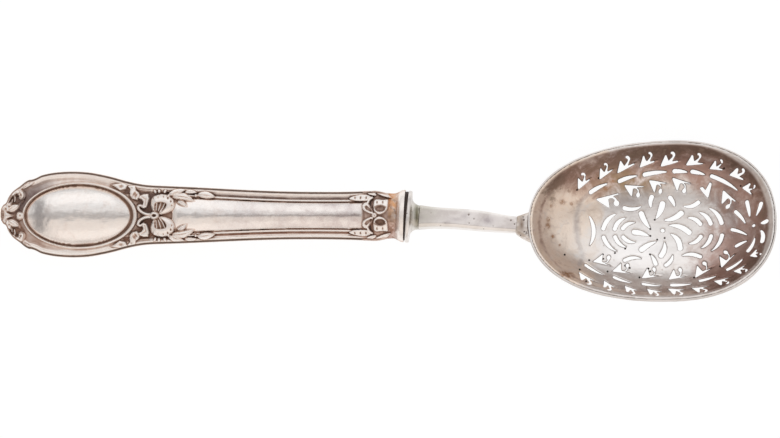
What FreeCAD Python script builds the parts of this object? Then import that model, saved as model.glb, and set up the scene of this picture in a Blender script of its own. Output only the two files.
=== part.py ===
import FreeCAD, Part
import math
import os
from FreeCAD import Placement, Rotation, Vector

# A pierced sugar spoon with a filled, stamped handle, lying on a table with its bowl up.
# X runs from the handle's butt towards the bowl, Y to the left of that and Z is up.
# Lengths are in millimetres and angles in degrees.

# Bowl: a raised oval cup, longer on the stem's side of its widest place
BOWL_STEM_REACH = 37.92
BOWL_TIP_REACH = 27.2
BOWL_HALF_WIDTH = 21.12
BOWL_DEPTH = 12.0
BOWL_SHEET = 0.6
OVAL_POWER = 2.23
WALL_POWER = 4.0
PATCH_OVERRUN = 2.0
PATCH_ROWS = 33
PATCH_COLUMNS = 21
OVAL_POINTS = 40
LIFT_STEPS = 200

# Wire round the outside of the bowl's edge
WIRE_WIDTH = 0.45
WIRE_HEIGHT = 1.2
WIRE_ROUND = 0.2

# How the bowl sits against the handle's line, which runs along X
BOWL_CENTRE_X = 182.1
BOWL_CENTRE_Y = -0.88
BOWL_YAW = 2.1
BOWL_ROLL = -12.0

# Piercing: how far its own oval lies inside the bowl's inner edge, and to one side of the middle
PIERCING_INSET = 0.45
PIERCING_STEM_INSET = 1.1
PIERCING_OFFSET = -0.43

# Widths of the sawn strokes, and how far the horns of the birdlike cuts stand out
DASH_WIDTH = 1.1
NEST_WIDTH = 1.35
LEAF_WIDTH = 1.35
PETAL_WIDTH = 1.65
RAY_WIDTH = 1.1
CRESCENT_WIDTH = 1.2
STROKE_MIDDLE_SHARE = 0.42
STROKE_TIP_SHARE = 0.12
FLOWER_EYE_RADIUS = 0.65
TIP_EYE_RADIUS = 0.5
OUTER_HORN = 2.5
INNER_HORN = 3.4

# Handle: half of its thickness is given, from the seam up, because both shells are alike
HANDLE_LENGTH = 109.9
PLATE_START = 1.9
CARTOUCHE_HALF_WIDTH = 11.7
SHAFT_HALF_WIDTH = 6.55
SHELL_SHEET = 0.5
BORDER_TOP = 3.3
BORDER_WIDTH = 1.3
BORDER_ROUND = 1.0
CHANNEL_FLOOR = 2.7
INNER_BEAD_INSET = 2.05
INNER_BEAD_WIDTH = 0.55
INNER_BEAD_TOP = 3.5

# Cartouche: a domed oval in a raised ring
CARTOUCHE_X = 21.5
RING_HALF_LENGTH = 15.2
RING_HALF_WIDTH = 9.1
RING_WIDTH = 0.65
RING_TOP = 3.8
RING_ROUND = 0.25
DOME_HALF_LENGTH = 13.9
DOME_HALF_WIDTH = 7.8
DOME_EDGE = 3.1
DOME_TOP = 5.9
DOME_ROUND = 6.0

# Rounded panel down the middle of the shaft
PANEL_TOP = 5.25

# Collar at the handle's mouth, oval in section, with a flared lip
COLLAR_LENGTH = 9.2
LIP_HALF_WIDTH = 7.1
LIP_HALF_HEIGHT = 5.8

# Stamped ornament that stands out of the border
VOLUTE_X = 4.6
VOLUTE_Y = 3.45
VOLUTE_HALF_LENGTH = 2.4
VOLUTE_HALF_WIDTH = 3.0
VOLUTE_TOP = 4.3
FINIAL_HALF_WIDTH = 2.9
FINIAL_TOP = 3.6
FINIAL_LENGTH = 5.0
BUTT_BEAD_X = 5.7
BUTT_BEAD_RADIUS = 0.9
KNOT_X = 42.4
KNOT_HALF_LENGTH = 1.6
KNOT_HALF_WIDTH = 1.9
KNOT_TOP = 5.4
BOW_LOOP_LENGTH = 7.2
BOW_LOOP_WIDTH = 4.6
BOW_LOOP_X = 43.6
BOW_LOOP_Y = 3.5
BOW_LOOP_TURN = 20.0
BOW_TOP = 4.9
COLLAR_BOW_X = 102.0
COLLAR_BOW_TOP = 6.0
LEAF_LENGTH = 7.5
LEAF_HALF_WIDTH = 0.95
LEAF_TOP = 4.4

# Bolster: an oval disc with a hollow-sided neck, tilted a little against the lip
BOLSTER_GAP = 0.6
BOLSTER_OFFSET = -0.15
DISC_HALF_WIDTH = 7.1
DISC_HALF_HEIGHT = 5.8
DISC_THICKNESS = 1.1
DISC_ROUND = 0.4
NECK_LENGTH = 2.3
NECK_START_HALF_WIDTH = 5.7
NECK_END_HALF_WIDTH = 3.3
NECK_STEPS = 4

# Stem: a chamfered bar, slightly bowed, that thins towards the bowl
STEM_HALF_WIDTH = 3.15
STEM_HALF_HEIGHT = 2.5
STEM_CHAMFER = 0.9
STEM_END_DEPTH = 2.2
STEM_END_OFFSET = 0.57
STEM_BOW = 0.4

# Lug: the joint under the bowl's rim
LUG_REACH = 3.03
LUG_LENGTH = 8.0
LUG_DEPTH = 5.6
LUG_HALF_WIDTH = 4.1

# Tang: a tapered square spike
TANG_LENGTH = 36.0
TANG_ROOT_HALF = 2.0
TANG_TIP_HALF = 1.0
TANG_CHAMFER = 0.4

# Overrun of cutting bodies past what they cut
OVERRUN = 5.0

# Outline of the handle's plate: share of the handle's length, share of the half width named
CARTOUCHE_OUTLINE_SHARES = (
    (0.020, 0.23), (0.028, 0.43), (0.043, 0.58), (0.073, 0.78), (0.107, 0.91), (0.152, 0.99),
    (0.191, 1.00), (0.240, 0.96), (0.290, 0.86), (0.339, 0.74), (0.378, 0.69),
)
SHAFT_OUTLINE_SHARES = (
    (0.423, 1.20), (0.517, 1.15), (0.608, 1.07), (0.706, 1.00), (0.817, 1.00), (0.885, 1.01),
    (0.940, 1.02),
)

# Collar sections: share of its length, of the lip's half width and of the lip's half height
COLLAR_SHARES = (
    (0.00, 0.93, 0.90), (0.35, 0.93, 0.90), (0.52, 0.88, 0.85), (0.71, 0.86, 0.83), (0.88, 0.93, 0.92),
    (1.00, 1.00, 1.00),
)

# Panel sections: share of the handle's length, of the shaft's half width and of the panel's top
PANEL_SHARES = (
    (0.415, 0.95, 0.84), (0.54, 0.93, 0.98), (0.70, 0.82, 1.00), (0.95, 0.81, 1.00),
)

# Stem sections: share of its length, of its root's half width and half height, and of its bow
STEM_SHARES = (
    (0.00, 1.00, 1.00, 0.00), (0.15, 0.87, 0.90, 0.50), (0.38, 0.83, 0.84, 0.97),
    (0.62, 0.84, 0.78, 0.80), (0.82, 0.75, 0.70, 0.25), (1.00, 0.69, 0.66, 0.00),
)

# Lug sections: share of its length, of its half width, and top and bottom as shares of its depth
LUG_SHARES = (
    (0.25, 0.84, 0.11, 0.79), (0.55, 1.00, 0.18, 0.95), (1.00, 0.83, 0.57, 1.00),
)

# Laurel leaves past the bow: share of the handle's length, of the cartouche's half width, and turn
LAUREL_SHARES = (
    (0.420, 0.47, 12.0), (0.455, 0.38, -8.0), (0.493, 0.50, 6.0), (0.415, 0.28, -12.0),
)

# Birdlike cuts: beak and tail tip, as shares of the bowl's reach on that side and of its half width
OUTER_LEFT_SHARES = (
    (-0.68, 0.54, -0.57, 0.69), (-0.52, 0.67, -0.405, 0.80), (-0.39, 0.745, -0.24, 0.865),
    (-0.225, 0.81, -0.08, 0.89), (-0.07, 0.82, 0.115, 0.875), (0.16, 0.825, 0.365, 0.825),
    (0.395, 0.765, 0.56, 0.725), (0.595, 0.67, 0.755, 0.57), (0.72, 0.50, 0.83, 0.37),
)
OUTER_RIGHT_SHARES = (
    (-0.70, 0.55, -0.55, 0.73), (-0.515, 0.67, -0.415, 0.815), (-0.365, 0.75, -0.245, 0.855),
    (-0.205, 0.80, -0.075, 0.875), (-0.05, 0.81, 0.135, 0.845), (0.165, 0.82, 0.37, 0.805),
    (0.395, 0.73, 0.585, 0.70), (0.595, 0.615, 0.745, 0.535), (0.77, 0.43, 0.855, 0.335),
)
INNER_LEFT_SHARES = (
    (-0.555, 0.445, -0.34, 0.54), (-0.34, 0.625, -0.175, 0.605), (-0.155, 0.68, -0.01, 0.635),
    (0.02, 0.705, 0.25, 0.61), (0.535, 0.515, 0.70, 0.305),
)
INNER_RIGHT_SHARES = (
    (-0.595, 0.40, -0.43, 0.475), (-0.455, 0.54, -0.285, 0.58), (-0.24, 0.65, -0.075, 0.615),
    (-0.04, 0.675, 0.16, 0.63), (0.215, 0.67, 0.445, 0.50), (0.485, 0.555, 0.665, 0.33),
)

# Sawn strokes: thick end, thin end, and bend as a share of the stroke's length, left side positive
DASH_LEFT_SHARES = (
    (-0.585, 0.525, -0.45, 0.64, 0.04), (-0.37, 0.665, -0.23, 0.73, 0.04),
    (-0.185, 0.74, -0.015, 0.765, 0.03), (0.05, 0.77, 0.19, 0.75, 0.03),
    (0.23, 0.755, 0.365, 0.705, 0.03), (0.425, 0.685, 0.69, 0.465, 0.05),
)
DASH_RIGHT_SHARES = (
    (-0.64, 0.455, -0.505, 0.60, 0.04), (-0.435, 0.625, -0.305, 0.715, 0.04),
    (-0.225, 0.73, -0.09, 0.765, 0.03), (-0.015, 0.76, 0.19, 0.75, 0.03),
    (0.27, 0.71, 0.445, 0.65, 0.03), (0.55, 0.575, 0.715, 0.44, 0.05),
)
NEST_SHARES = (
    (-0.50, 0.06, -0.40, 0.255, 0.12), (-0.415, 0.055, -0.33, 0.20, 0.14),
    (-0.355, 0.06, -0.26, 0.13, 0.14), (0.295, 0.085, 0.165, 0.175, -0.14),
    (0.40, 0.085, 0.285, 0.245, -0.13), (0.51, 0.085, 0.385, 0.295, -0.12),
)
LEAF_LEFT_SHARES = (
    (-0.135, 0.465, -0.142, 0.32, -0.10), (0.00, 0.45, 0.046, 0.325, 0.05),
    (-0.336, 0.327, -0.207, 0.353, -0.12), (0.281, 0.371, 0.128, 0.334, 0.14),
)
LEAF_RIGHT_SHARES = (
    (-0.125, 0.435, -0.158, 0.30, 0.05), (-0.048, 0.455, 0.008, 0.307, 0.12),
    (-0.35, 0.376, -0.225, 0.36, -0.12), (0.281, 0.357, 0.09, 0.338, 0.12),
)
PETAL_SHARES = (
    (-0.273, 0.006, -0.165, -0.055, 0.05), (-0.217, 0.249, -0.155, 0.045, -0.05),
    (-0.057, 0.371, -0.109, 0.175, 0.05), (0.105, 0.237, -0.05, 0.152, 0.10),
    (0.178, -0.021, -0.02, 0.077, -0.12), (0.081, -0.23, -0.01, -0.03, -0.16),
    (-0.082, -0.322, -0.055, -0.135, -0.12), (-0.223, -0.232, -0.111, -0.13, 0.05),
)
RAY_SHARES = (
    (0.772, 0.312, 0.796, 0.095, 0.02), (0.908, 0.247, 0.855, 0.10, 0.02),
    (0.955, 0.00, 0.895, 0.00, 0.05), (0.904, -0.253, 0.888, -0.085, -0.14),
    (0.764, -0.344, 0.835, -0.175, -0.08), (0.649, -0.25, 0.765, -0.20, 0.04),
    (0.615, -0.019, 0.77, -0.13, 0.05), (0.657, 0.211, 0.755, 0.02, 0.05),
)
CRESCENT_SHARES = ((-0.615, 0.26), (-0.572, 0.04), (-0.62, -0.205))
FLOWER_SHARES = (-0.064, 0.013)
TIP_FLOWER_SHARES = (0.83, -0.012)
ODD_BIRD_SHARES = (
    (0.385, 0.41), (0.295, 0.56), (0.335, 0.57), (0.36, 0.525), (0.405, 0.625), (0.43, 0.60),
)

# Birdlike cut of the outer row: along its tail, and out towards its horn; pairs of points are arcs
OUTER_BIRD_SHARES = (
    ((0.38, 1.00),), ((0.45, 0.34),), ((0.66, 0.58),), ((0.695, 0.70), (0.59, 0.77)), ((0.60, 0.97),),
    ((0.765, 0.90), (0.79, 0.60)), ((0.60, 0.22),), ((0.99, 0.11),), ((1.00, 0.00),),
)
# Birdlike cut of the inner row, whose curl ends in a round drop
INNER_BIRD_SHARES = (
    ((0.40, 1.00),), ((0.43, 0.27),), ((0.57, 0.28), (0.635, 0.50)), ((0.57, 0.78), (0.66, 0.96)),
    ((0.755, 0.78), (0.705, 0.50)), ((0.66, 0.24), (0.56, 0.15)), ((0.98, 0.085),), ((1.00, 0.00),),
)


def spline(points):
    """An edge through the points, in order."""
    curve = Part.BSplineCurve()
    curve.interpolate(points)
    return curve.toShape()


def line(start, end):
    """A straight edge."""
    return Part.LineSegment(start, end).toShape()


def arc(start, middle, end):
    """A round edge through three points."""
    return Part.Arc(start, middle, end).toShape()


def oval_ball(centre, half_length, half_width, half_height):
    """An ellipsoid."""
    matrix = FreeCAD.Matrix()
    matrix.scale(half_length, half_width, half_height)
    matrix.move(centre)
    return Part.makeSphere(1).transformGeometry(matrix)


def oval_wire(x, half_width, half_height):
    """An upright oval across the X axis."""
    across = Vector(0, half_width, 0)
    up = Vector(0, 0, half_height)
    centre = Vector(x, 0, 0)
    upper = [centre + across, centre + up, centre - across]
    lower = [centre - across, centre - up, centre + across]
    if half_width > half_height:
        curve = Part.Ellipse(upper[0], upper[1], centre)
    else:
        curve = Part.Ellipse(upper[1], lower[0], centre)
    return Part.Wire([curve.toShape()])


# Bowl


def bowl_reach(x):
    """The bowl's inner half length on the side where x lies."""
    if x > 0:
        return BOWL_TIP_REACH
    return BOWL_STEM_REACH


def ring_share(x, y, gap):
    """0 at the bowl's centre and 1 at the edge of the oval that lies gap outside its inner edge."""
    along = abs(x) / (bowl_reach(x) + gap)
    across = abs(y) / (BOWL_HALF_WIDTH + gap)
    return (along ** OVAL_POWER + across ** OVAL_POWER) ** (1 / OVAL_POWER)


def bowl_patch(gap):
    """The bowl's inner surface, or the one that lies gap outside it, past the rim on all sides."""
    over = gap + PATCH_OVERRUN
    length = BOWL_STEM_REACH + BOWL_TIP_REACH + 2 * over
    width = 2 * (BOWL_HALF_WIDTH + over)
    grid = []
    for row in range(PATCH_ROWS):
        x = length * row / (PATCH_ROWS - 1) - BOWL_STEM_REACH - over
        points = []
        for column in range(PATCH_COLUMNS):
            y = width * column / (PATCH_COLUMNS - 1) - width / 2
            fall = 1 - ring_share(x, y, gap) ** WALL_POWER
            points.append(Vector(x, y, -(BOWL_DEPTH + gap) * fall))
        grid.append(points)
    surface = Part.BSplineSurface()
    surface.interpolate(grid)
    return surface.toShape()


def bowl_column(gap):
    """All the space above a bowl patch."""
    height = 4 * (BOWL_DEPTH + gap) + PATCH_OVERRUN
    return bowl_patch(gap).extrude(Vector(0, 0, height))


def below_rim():
    """A block whose top is the plane of the bowl's rim."""
    reach = BOWL_STEM_REACH + BOWL_TIP_REACH + BOWL_HALF_WIDTH
    depth = BOWL_DEPTH + BOWL_SHEET + PATCH_OVERRUN
    return Part.makeBox(2 * reach, 2 * reach, depth, Vector(-reach, -reach, -depth))


def oval_point(gap, turn):
    """A point of the bowl's oval, gap outside its inner edge, at a turn in radians."""
    cosine = math.cos(turn)
    sine = math.sin(turn)
    along = math.copysign(abs(cosine) ** (2 / OVAL_POWER), cosine)
    across = math.copysign(abs(sine) ** (2 / OVAL_POWER), sine)
    return Vector((bowl_reach(cosine) + gap) * along, (BOWL_HALF_WIDTH + gap) * across, 0)


def oval_prism(gap, depth):
    """The bowl's oval, gap outside its inner edge, from the rim's plane down to depth."""
    points = [oval_point(gap, 2 * math.pi * step / OVAL_POINTS) for step in range(OVAL_POINTS)]
    curve = Part.BSplineCurve()
    curve.interpolate(Points=points, PeriodicFlag=True)
    face = Part.Face(Part.Wire([curve.toShape()]))
    return face.extrude(Vector(0, 0, -depth))


def pattern_reach(x):
    """The half length of the piercing's own oval on the side where x lies."""
    if x > 0:
        return BOWL_TIP_REACH - PIERCING_INSET
    return BOWL_STEM_REACH - PIERCING_STEM_INSET


def bowl_point(along_share, across_share):
    """A point of the piercing in the rim's plane."""
    half_width = BOWL_HALF_WIDTH - PIERCING_INSET
    return Vector(along_share * pattern_reach(along_share), across_share * half_width + PIERCING_OFFSET, 0)


def prism(edges):
    """A cutter through the bowl from a closed outline."""
    over = BOWL_DEPTH + BOWL_SHEET + PATCH_OVERRUN
    face = Part.Face(Part.Wire(edges))
    return face.extrude(Vector(0, 0, -over))


def stroke_cutter(shares, width, side):
    """A sawn stroke: round at its thick end, narrow at its thin end, and bent."""
    thick = bowl_point(shares[0], shares[1] * side)
    thin = bowl_point(shares[2], shares[3] * side)
    run = thin - thick
    left = Vector(-run.y, run.x, 0).normalize()
    middle = thick + run / 2 + left * (run.Length * shares[4] * side)
    back = run / run.Length * (width / 2)
    upper = thick + left * (width / 2)
    lower = thick - left * (width / 2)
    swell = left * (width * STROKE_MIDDLE_SHARE)
    tip = left * (width * STROKE_TIP_SHARE)
    edges = [
        arc(upper, middle + swell, thin + tip),
        line(thin + tip, thin - tip),
        arc(thin - tip, middle - swell, lower),
        arc(lower, thick - back, upper),
    ]
    return prism(edges)


def bird_cutter(shares, outline_shares, horn, side):
    """A birdlike cut: beak first, then horn, curl and tail."""
    beak = bowl_point(shares[0], shares[1] * side)
    tail = bowl_point(shares[2], shares[3] * side)
    along = tail - beak
    out = Vector(-along.y, along.x, 0).normalize() * (horn * side)
    edges = []
    last = beak
    for points in outline_shares:
        places = [beak + along * point[0] + out * point[1] for point in points]
        if len(places) == 1:
            edges.append(line(last, places[0]))
        else:
            edges.append(arc(last, places[0], places[1]))
        last = places[-1]
    edges.append(line(last, beak))
    return prism(edges)


def crescent_cutter():
    """The large crescent at the stem's end of the piercing."""
    top, middle, bottom = [bowl_point(*shares) for shares in CRESCENT_SHARES]
    half = Vector(CRESCENT_WIDTH / 2, 0, 0)
    return prism([arc(top, middle + half, bottom), arc(bottom, middle - half, top)])


def odd_bird_cutter():
    """The one cut that stands across its row."""
    points = [bowl_point(*shares) for shares in ODD_BIRD_SHARES]
    return prism([line(points[index - 1], points[index]) for index in range(len(points))])


def eye_cutter(shares, radius):
    """The round eye of a flower."""
    circle = Part.Circle(bowl_point(*shares), Vector(0, 0, 1), radius)
    return prism([circle.toShape()])


def piercing():
    """All the cutters of the bowl's pattern, left and right of its long axis."""
    cutters = [crescent_cutter(), odd_bird_cutter()]
    cutters.append(eye_cutter(FLOWER_SHARES, FLOWER_EYE_RADIUS))
    cutters.append(eye_cutter(TIP_FLOWER_SHARES, TIP_EYE_RADIUS))
    rows = (
        (1, OUTER_LEFT_SHARES, INNER_LEFT_SHARES, DASH_LEFT_SHARES, LEAF_LEFT_SHARES),
        (-1, OUTER_RIGHT_SHARES, INNER_RIGHT_SHARES, DASH_RIGHT_SHARES, LEAF_RIGHT_SHARES),
    )
    for side, outer, inner, dashes, leaves in rows:
        cutters += [bird_cutter(shares, OUTER_BIRD_SHARES, OUTER_HORN, side) for shares in outer]
        cutters += [bird_cutter(shares, INNER_BIRD_SHARES, -INNER_HORN, side) for shares in inner]
        cutters += [stroke_cutter(shares, DASH_WIDTH, side) for shares in dashes]
        cutters += [stroke_cutter(shares, LEAF_WIDTH, side) for shares in leaves]
        cutters += [stroke_cutter(shares, NEST_WIDTH, side) for shares in NEST_SHARES]
    cutters += [stroke_cutter(shares, PETAL_WIDTH, 1) for shares in PETAL_SHARES]
    cutters += [stroke_cutter(shares, RAY_WIDTH, 1) for shares in RAY_SHARES]
    return cutters


def plain_cup():
    """The bowl's outside as a full block up to the rim."""
    return bowl_column(BOWL_SHEET).common(below_rim())


def bowl_solid():
    """The pierced sheet bowl, in its own frame with the rim's plane at zero."""
    sheet = plain_cup().cut(bowl_column(0))
    return sheet.cut(piercing())


def rim_wire_solid():
    """The wire round the outside of the bowl's edge."""
    band = oval_prism(BOWL_SHEET + WIRE_WIDTH, WIRE_HEIGHT)
    outer_edges = [edge for edge in band.Edges if len(edge.Vertexes) < 2 or edge.isClosed()]
    band = band.makeFillet(WIRE_ROUND, outer_edges)
    return band.cut(bowl_column(BOWL_SHEET))


# Handle


def plate_points():
    """Half of the plate's outline, from the butt to the collar."""
    points = [Vector(PLATE_START, 0, 0)]
    for along, across in CARTOUCHE_OUTLINE_SHARES:
        points.append(Vector(along * HANDLE_LENGTH, across * CARTOUCHE_HALF_WIDTH, 0))
    for along, across in SHAFT_OUTLINE_SHARES:
        points.append(Vector(along * HANDLE_LENGTH, across * SHAFT_HALF_WIDTH, 0))
    return points


def mirrored_outline(half):
    """The whole outline, from the right of the collar round the butt to its left."""
    right = [Vector(point.x, -point.y, point.z) for point in reversed(half[1:])]
    return right + half


def inset_points(inset):
    """Half of the outline that runs inset inside the plate's."""
    curve = Part.BSplineCurve()
    curve.interpolate(mirrored_outline(plate_points()))
    half = plate_points()
    points = [Vector(PLATE_START + inset, 0, 0)]
    for point in half[2:]:
        tangent = curve.tangent(curve.parameter(point))[0]
        points.append(point + Vector(tangent.y, -tangent.x, 0).normalize() * inset)
    end = half[-1]
    points[-1] = Vector(end.x, points[-1].y, 0)
    return points


def plate_face(half):
    """The face inside an outline, closed across the collar's end."""
    points = mirrored_outline(half)
    return Part.Face(Part.Wire([spline(points), line(points[-1], points[0])]))


def plate_block(half, height):
    """A plate of the given outline, from the seam up."""
    return plate_face(half).extrude(Vector(0, 0, height))


def outer_top_edge(block, height):
    """The long edge round the top of a plate."""
    tops = [edge for edge in block.Edges if abs(edge.BoundBox.ZMin - height) < SHELL_SHEET / 10]
    return max(tops, key=lambda edge: edge.Length)


def bordered_plate():
    """The stamped plate with its rounded border and the sunk channel inside."""
    block = plate_block(plate_points(), BORDER_TOP)
    block = block.makeFillet(BORDER_ROUND, [outer_top_edge(block, BORDER_TOP)])
    pocket = plate_block(inset_points(BORDER_WIDTH), BORDER_TOP)
    pocket.translate(Vector(0, 0, CHANNEL_FLOOR))
    return block.cut(pocket)


def inner_beads():
    """The fine raised line on each side of the panel."""
    outer = plate_block(inset_points(INNER_BEAD_INSET), INNER_BEAD_TOP)
    inner = plate_block(inset_points(INNER_BEAD_INSET + INNER_BEAD_WIDTH), INNER_BEAD_TOP)
    width = 4 * SHAFT_HALF_WIDTH
    start = PANEL_SHARES[0][0] * HANDLE_LENGTH
    run = HANDLE_LENGTH - COLLAR_LENGTH - start
    block = Part.makeBox(run, width, INNER_BEAD_TOP, Vector(start, -width / 2, 0))
    return outer.cut(inner).common(block)


def oval_block(half_length, half_width, height):
    """A flat oval plate at the cartouche, from the seam up."""
    centre = Vector(CARTOUCHE_X, 0, 0)
    along = Vector(half_length, 0, 0)
    across = Vector(0, half_width, 0)
    curve = Part.Ellipse(centre + along, centre + across, centre)
    return Part.Face(Part.Wire([curve.toShape()])).extrude(Vector(0, 0, height))


def ring():
    """The raised ring round the cartouche's dome."""
    block = oval_block(RING_HALF_LENGTH, RING_HALF_WIDTH, RING_TOP)
    block = block.makeFillet(RING_ROUND, [outer_top_edge(block, RING_TOP)])
    inside = oval_block(RING_HALF_LENGTH - RING_WIDTH, RING_HALF_WIDTH - RING_WIDTH, RING_TOP)
    return block.cut(inside)


def dome(inset):
    """The cartouche's dome, or its inside, which lies inset under it."""
    centre_height = DOME_TOP - DOME_ROUND
    spread = math.sqrt(1 - ((DOME_EDGE - centre_height) / DOME_ROUND) ** 2)
    centre = Vector(CARTOUCHE_X, 0, centre_height)
    half_length = DOME_HALF_LENGTH / spread - inset
    half_width = DOME_HALF_WIDTH / spread - inset
    return oval_ball(centre, half_length, half_width, DOME_ROUND - inset)


def panel(inset):
    """The rounded panel of the shaft as a whole oval bar, or its inside, which lies inset under it."""
    wires = []
    for along, across, up in PANEL_SHARES:
        half_width = across * SHAFT_HALF_WIDTH - inset
        wires.append(oval_wire(along * HANDLE_LENGTH, half_width, up * PANEL_TOP - inset))
    return Part.makeLoft(wires, True)


def collar(inset):
    """The oval collar with its flared lip, or its inside, which lies inset under it."""
    start = HANDLE_LENGTH - COLLAR_LENGTH
    wires = []
    for along, across, up in COLLAR_SHARES:
        half_width = across * LIP_HALF_WIDTH - inset
        half_height = up * LIP_HALF_HEIGHT - inset
        wires.append(oval_wire(start + along * COLLAR_LENGTH, half_width, half_height))
    return Part.makeLoft(wires, True)


def leaf(x, y, length, half_width, top, turn):
    """A long pointed leaf lying on the channel's floor."""
    ball = oval_ball(Vector(0, 0, 0), length / 2, half_width, top - CHANNEL_FLOOR)
    return ball_at(ball, Vector(x, y, CHANNEL_FLOOR), turn)


def ball_at(shape, place, turn):
    """A copy of a shape, turned about Z and moved."""
    moved = shape.copy()
    moved.Placement = Placement(place, Rotation(Vector(0, 0, 1), turn))
    return moved


def ornament():
    """Volutes, finial leaf, ribbon knot, bow loops and laurel leaves as plain swelling forms."""
    finial_centre = Vector(FINIAL_LENGTH / 2, 0, 0)
    forms = [oval_ball(finial_centre, FINIAL_LENGTH / 2, FINIAL_HALF_WIDTH, FINIAL_TOP)]
    bead = Part.makeSphere(BUTT_BEAD_RADIUS, Vector(BUTT_BEAD_X, 0, BORDER_TOP))
    forms.append(bead)
    for x, top in ((KNOT_X, KNOT_TOP), (COLLAR_BOW_X, COLLAR_BOW_TOP)):
        forms.append(oval_ball(Vector(x, 0, 0), KNOT_HALF_LENGTH, KNOT_HALF_WIDTH, top))
    for side in (1, -1):
        volute = Vector(VOLUTE_X, side * VOLUTE_Y, 0)
        forms.append(oval_ball(volute, VOLUTE_HALF_LENGTH, VOLUTE_HALF_WIDTH, VOLUTE_TOP))
        loop = oval_ball(Vector(0, 0, 0), BOW_LOOP_LENGTH / 2, BOW_LOOP_WIDTH / 2, BOW_TOP)
        forms.append(ball_at(loop, Vector(BOW_LOOP_X, side * BOW_LOOP_Y, 0), -side * BOW_LOOP_TURN))
        for along, across, turn in LAUREL_SHARES:
            x = along * HANDLE_LENGTH
            y = across * CARTOUCHE_HALF_WIDTH * side
            forms.append(leaf(x, y, LEAF_LENGTH, LEAF_HALF_WIDTH, LEAF_TOP, turn * side))
    return forms


def above_seam():
    """The half of space where the front shell lies."""
    size = 2 * HANDLE_LENGTH
    return Part.makeBox(2 * size, size, size, Vector(-size / 2, -size / 2, 0))


def front_hollow():
    """The inside of the front shell, run out through the mouth."""
    half = plate_block(inset_points(SHELL_SHEET), CHANNEL_FLOOR - SHELL_SHEET)
    mouth = oval_wire(HANDLE_LENGTH, LIP_HALF_WIDTH - SHELL_SHEET, LIP_HALF_HEIGHT - SHELL_SHEET)
    run_out = Part.Face(mouth).extrude(Vector(OVERRUN, 0, 0))
    forms = [dome(SHELL_SHEET), panel(SHELL_SHEET), collar(SHELL_SHEET), run_out]
    whole = half.fuse(forms).common(above_seam())
    return whole.removeSplitter()


def front_shell(hollow):
    """The stamped front half of the handle, in the handle's own frame."""
    whole = bordered_plate()
    for form in [ring(), dome(0), panel(0), inner_beads(), collar(0)] + ornament():
        whole = whole.fuse(form)
    return whole.common(above_seam()).removeSplitter().cut(hollow)


def mirrored(shape):
    """The same shape on the other side of the seam."""
    return shape.mirror(Vector(0, 0, 0), Vector(0, 0, 1))


# Bolster, stem and tang, each in the stem's frame: X runs from the disc's back towards the bowl


def bolster_solid():
    """The oval disc against the handle's mouth, with its hollow-sided neck."""
    face = Part.Face(oval_wire(0, DISC_HALF_WIDTH, DISC_HALF_HEIGHT))
    disc = face.extrude(Vector(DISC_THICKNESS, 0, 0))
    rims = [edge for edge in disc.Edges if edge.Length > 2 * DISC_HALF_WIDTH]
    disc = disc.makeFillet(DISC_ROUND, rims)
    slimness = DISC_HALF_HEIGHT / DISC_HALF_WIDTH
    hollow = NECK_START_HALF_WIDTH - NECK_END_HALF_WIDTH
    wires = []
    for step in range(NECK_STEPS + 1):
        turn = math.pi / 2 * step / NECK_STEPS
        x = DISC_THICKNESS + NECK_LENGTH * (1 - math.cos(turn))
        half_width = NECK_START_HALF_WIDTH - hollow * math.sin(turn)
        wires.append(oval_wire(x, half_width, half_width * slimness))
    return disc.fuse(Part.makeLoft(wires, True)).removeSplitter()


def bar_wire(x, half_width, half_height, chamfer):
    """An upright rectangle across the X axis with its corners cut off."""
    flat_y = half_width - chamfer
    flat_z = half_height - chamfer
    corners = (
        (half_width, -flat_z), (half_width, flat_z), (flat_y, half_height), (-flat_y, half_height),
        (-half_width, flat_z), (-half_width, -flat_z), (-flat_y, -half_height), (flat_y, -half_height),
    )
    points = [Vector(x, y, z) for y, z in corners]
    return Part.Wire([line(points[index - 1], points[index]) for index in range(len(points))])


def stem_wire(shares, start, end):
    """One section of the stem."""
    along, across, up, aside = shares
    x = start + along * (end - start)
    wire = bar_wire(x, across * STEM_HALF_WIDTH, up * STEM_HALF_HEIGHT, across * STEM_CHAMFER)
    wire.translate(Vector(0, aside * STEM_BOW, 0))
    return wire


def stem_solid(end):
    """The chamfered bar from the neck to the lug."""
    start = DISC_THICKNESS + NECK_LENGTH
    return Part.makeLoft([stem_wire(shares, start, end) for shares in STEM_SHARES], True)


def tang_solid():
    """The tapered square spike behind the disc."""
    root = bar_wire(0, TANG_ROOT_HALF, TANG_ROOT_HALF, TANG_CHAMFER)
    tip = bar_wire(-TANG_LENGTH, TANG_TIP_HALF, TANG_TIP_HALF, TANG_CHAMFER)
    return Part.makeLoft([root, tip], True, True)


def lug_solid(bowl_place, stem_place, stem_end):
    """The flared joint that laps under the bowl's rim."""
    first = stem_wire(STEM_SHARES[-1], 0, stem_end)
    first.Placement = stem_place
    wires = [first]
    start = BOWL_STEM_REACH + BOWL_SHEET + WIRE_WIDTH + LUG_REACH
    for along, across, top, bottom in LUG_SHARES:
        half_height = (bottom - top) * LUG_DEPTH / 2
        wire = bar_wire(along * LUG_LENGTH - start, across * LUG_HALF_WIDTH, half_height, STEM_CHAMFER)
        wire.translate(Vector(0, 0, -(bottom + top) * LUG_DEPTH / 2))
        wire.Placement = bowl_place.multiply(wire.Placement)
        wires.append(wire)
    joint = Part.makeLoft(wires, True)
    inside = [bowl_column(BOWL_SHEET), oval_prism(BOWL_SHEET + WIRE_WIDTH, WIRE_HEIGHT)]
    return joint.cut([placed(shape, bowl_place) for shape in inside])


# Assembly


def placed(shape, place):
    """A copy of a shape in the spoon's frame."""
    moved = shape.copy()
    moved.Placement = place.multiply(shape.Placement)
    return moved


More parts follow.
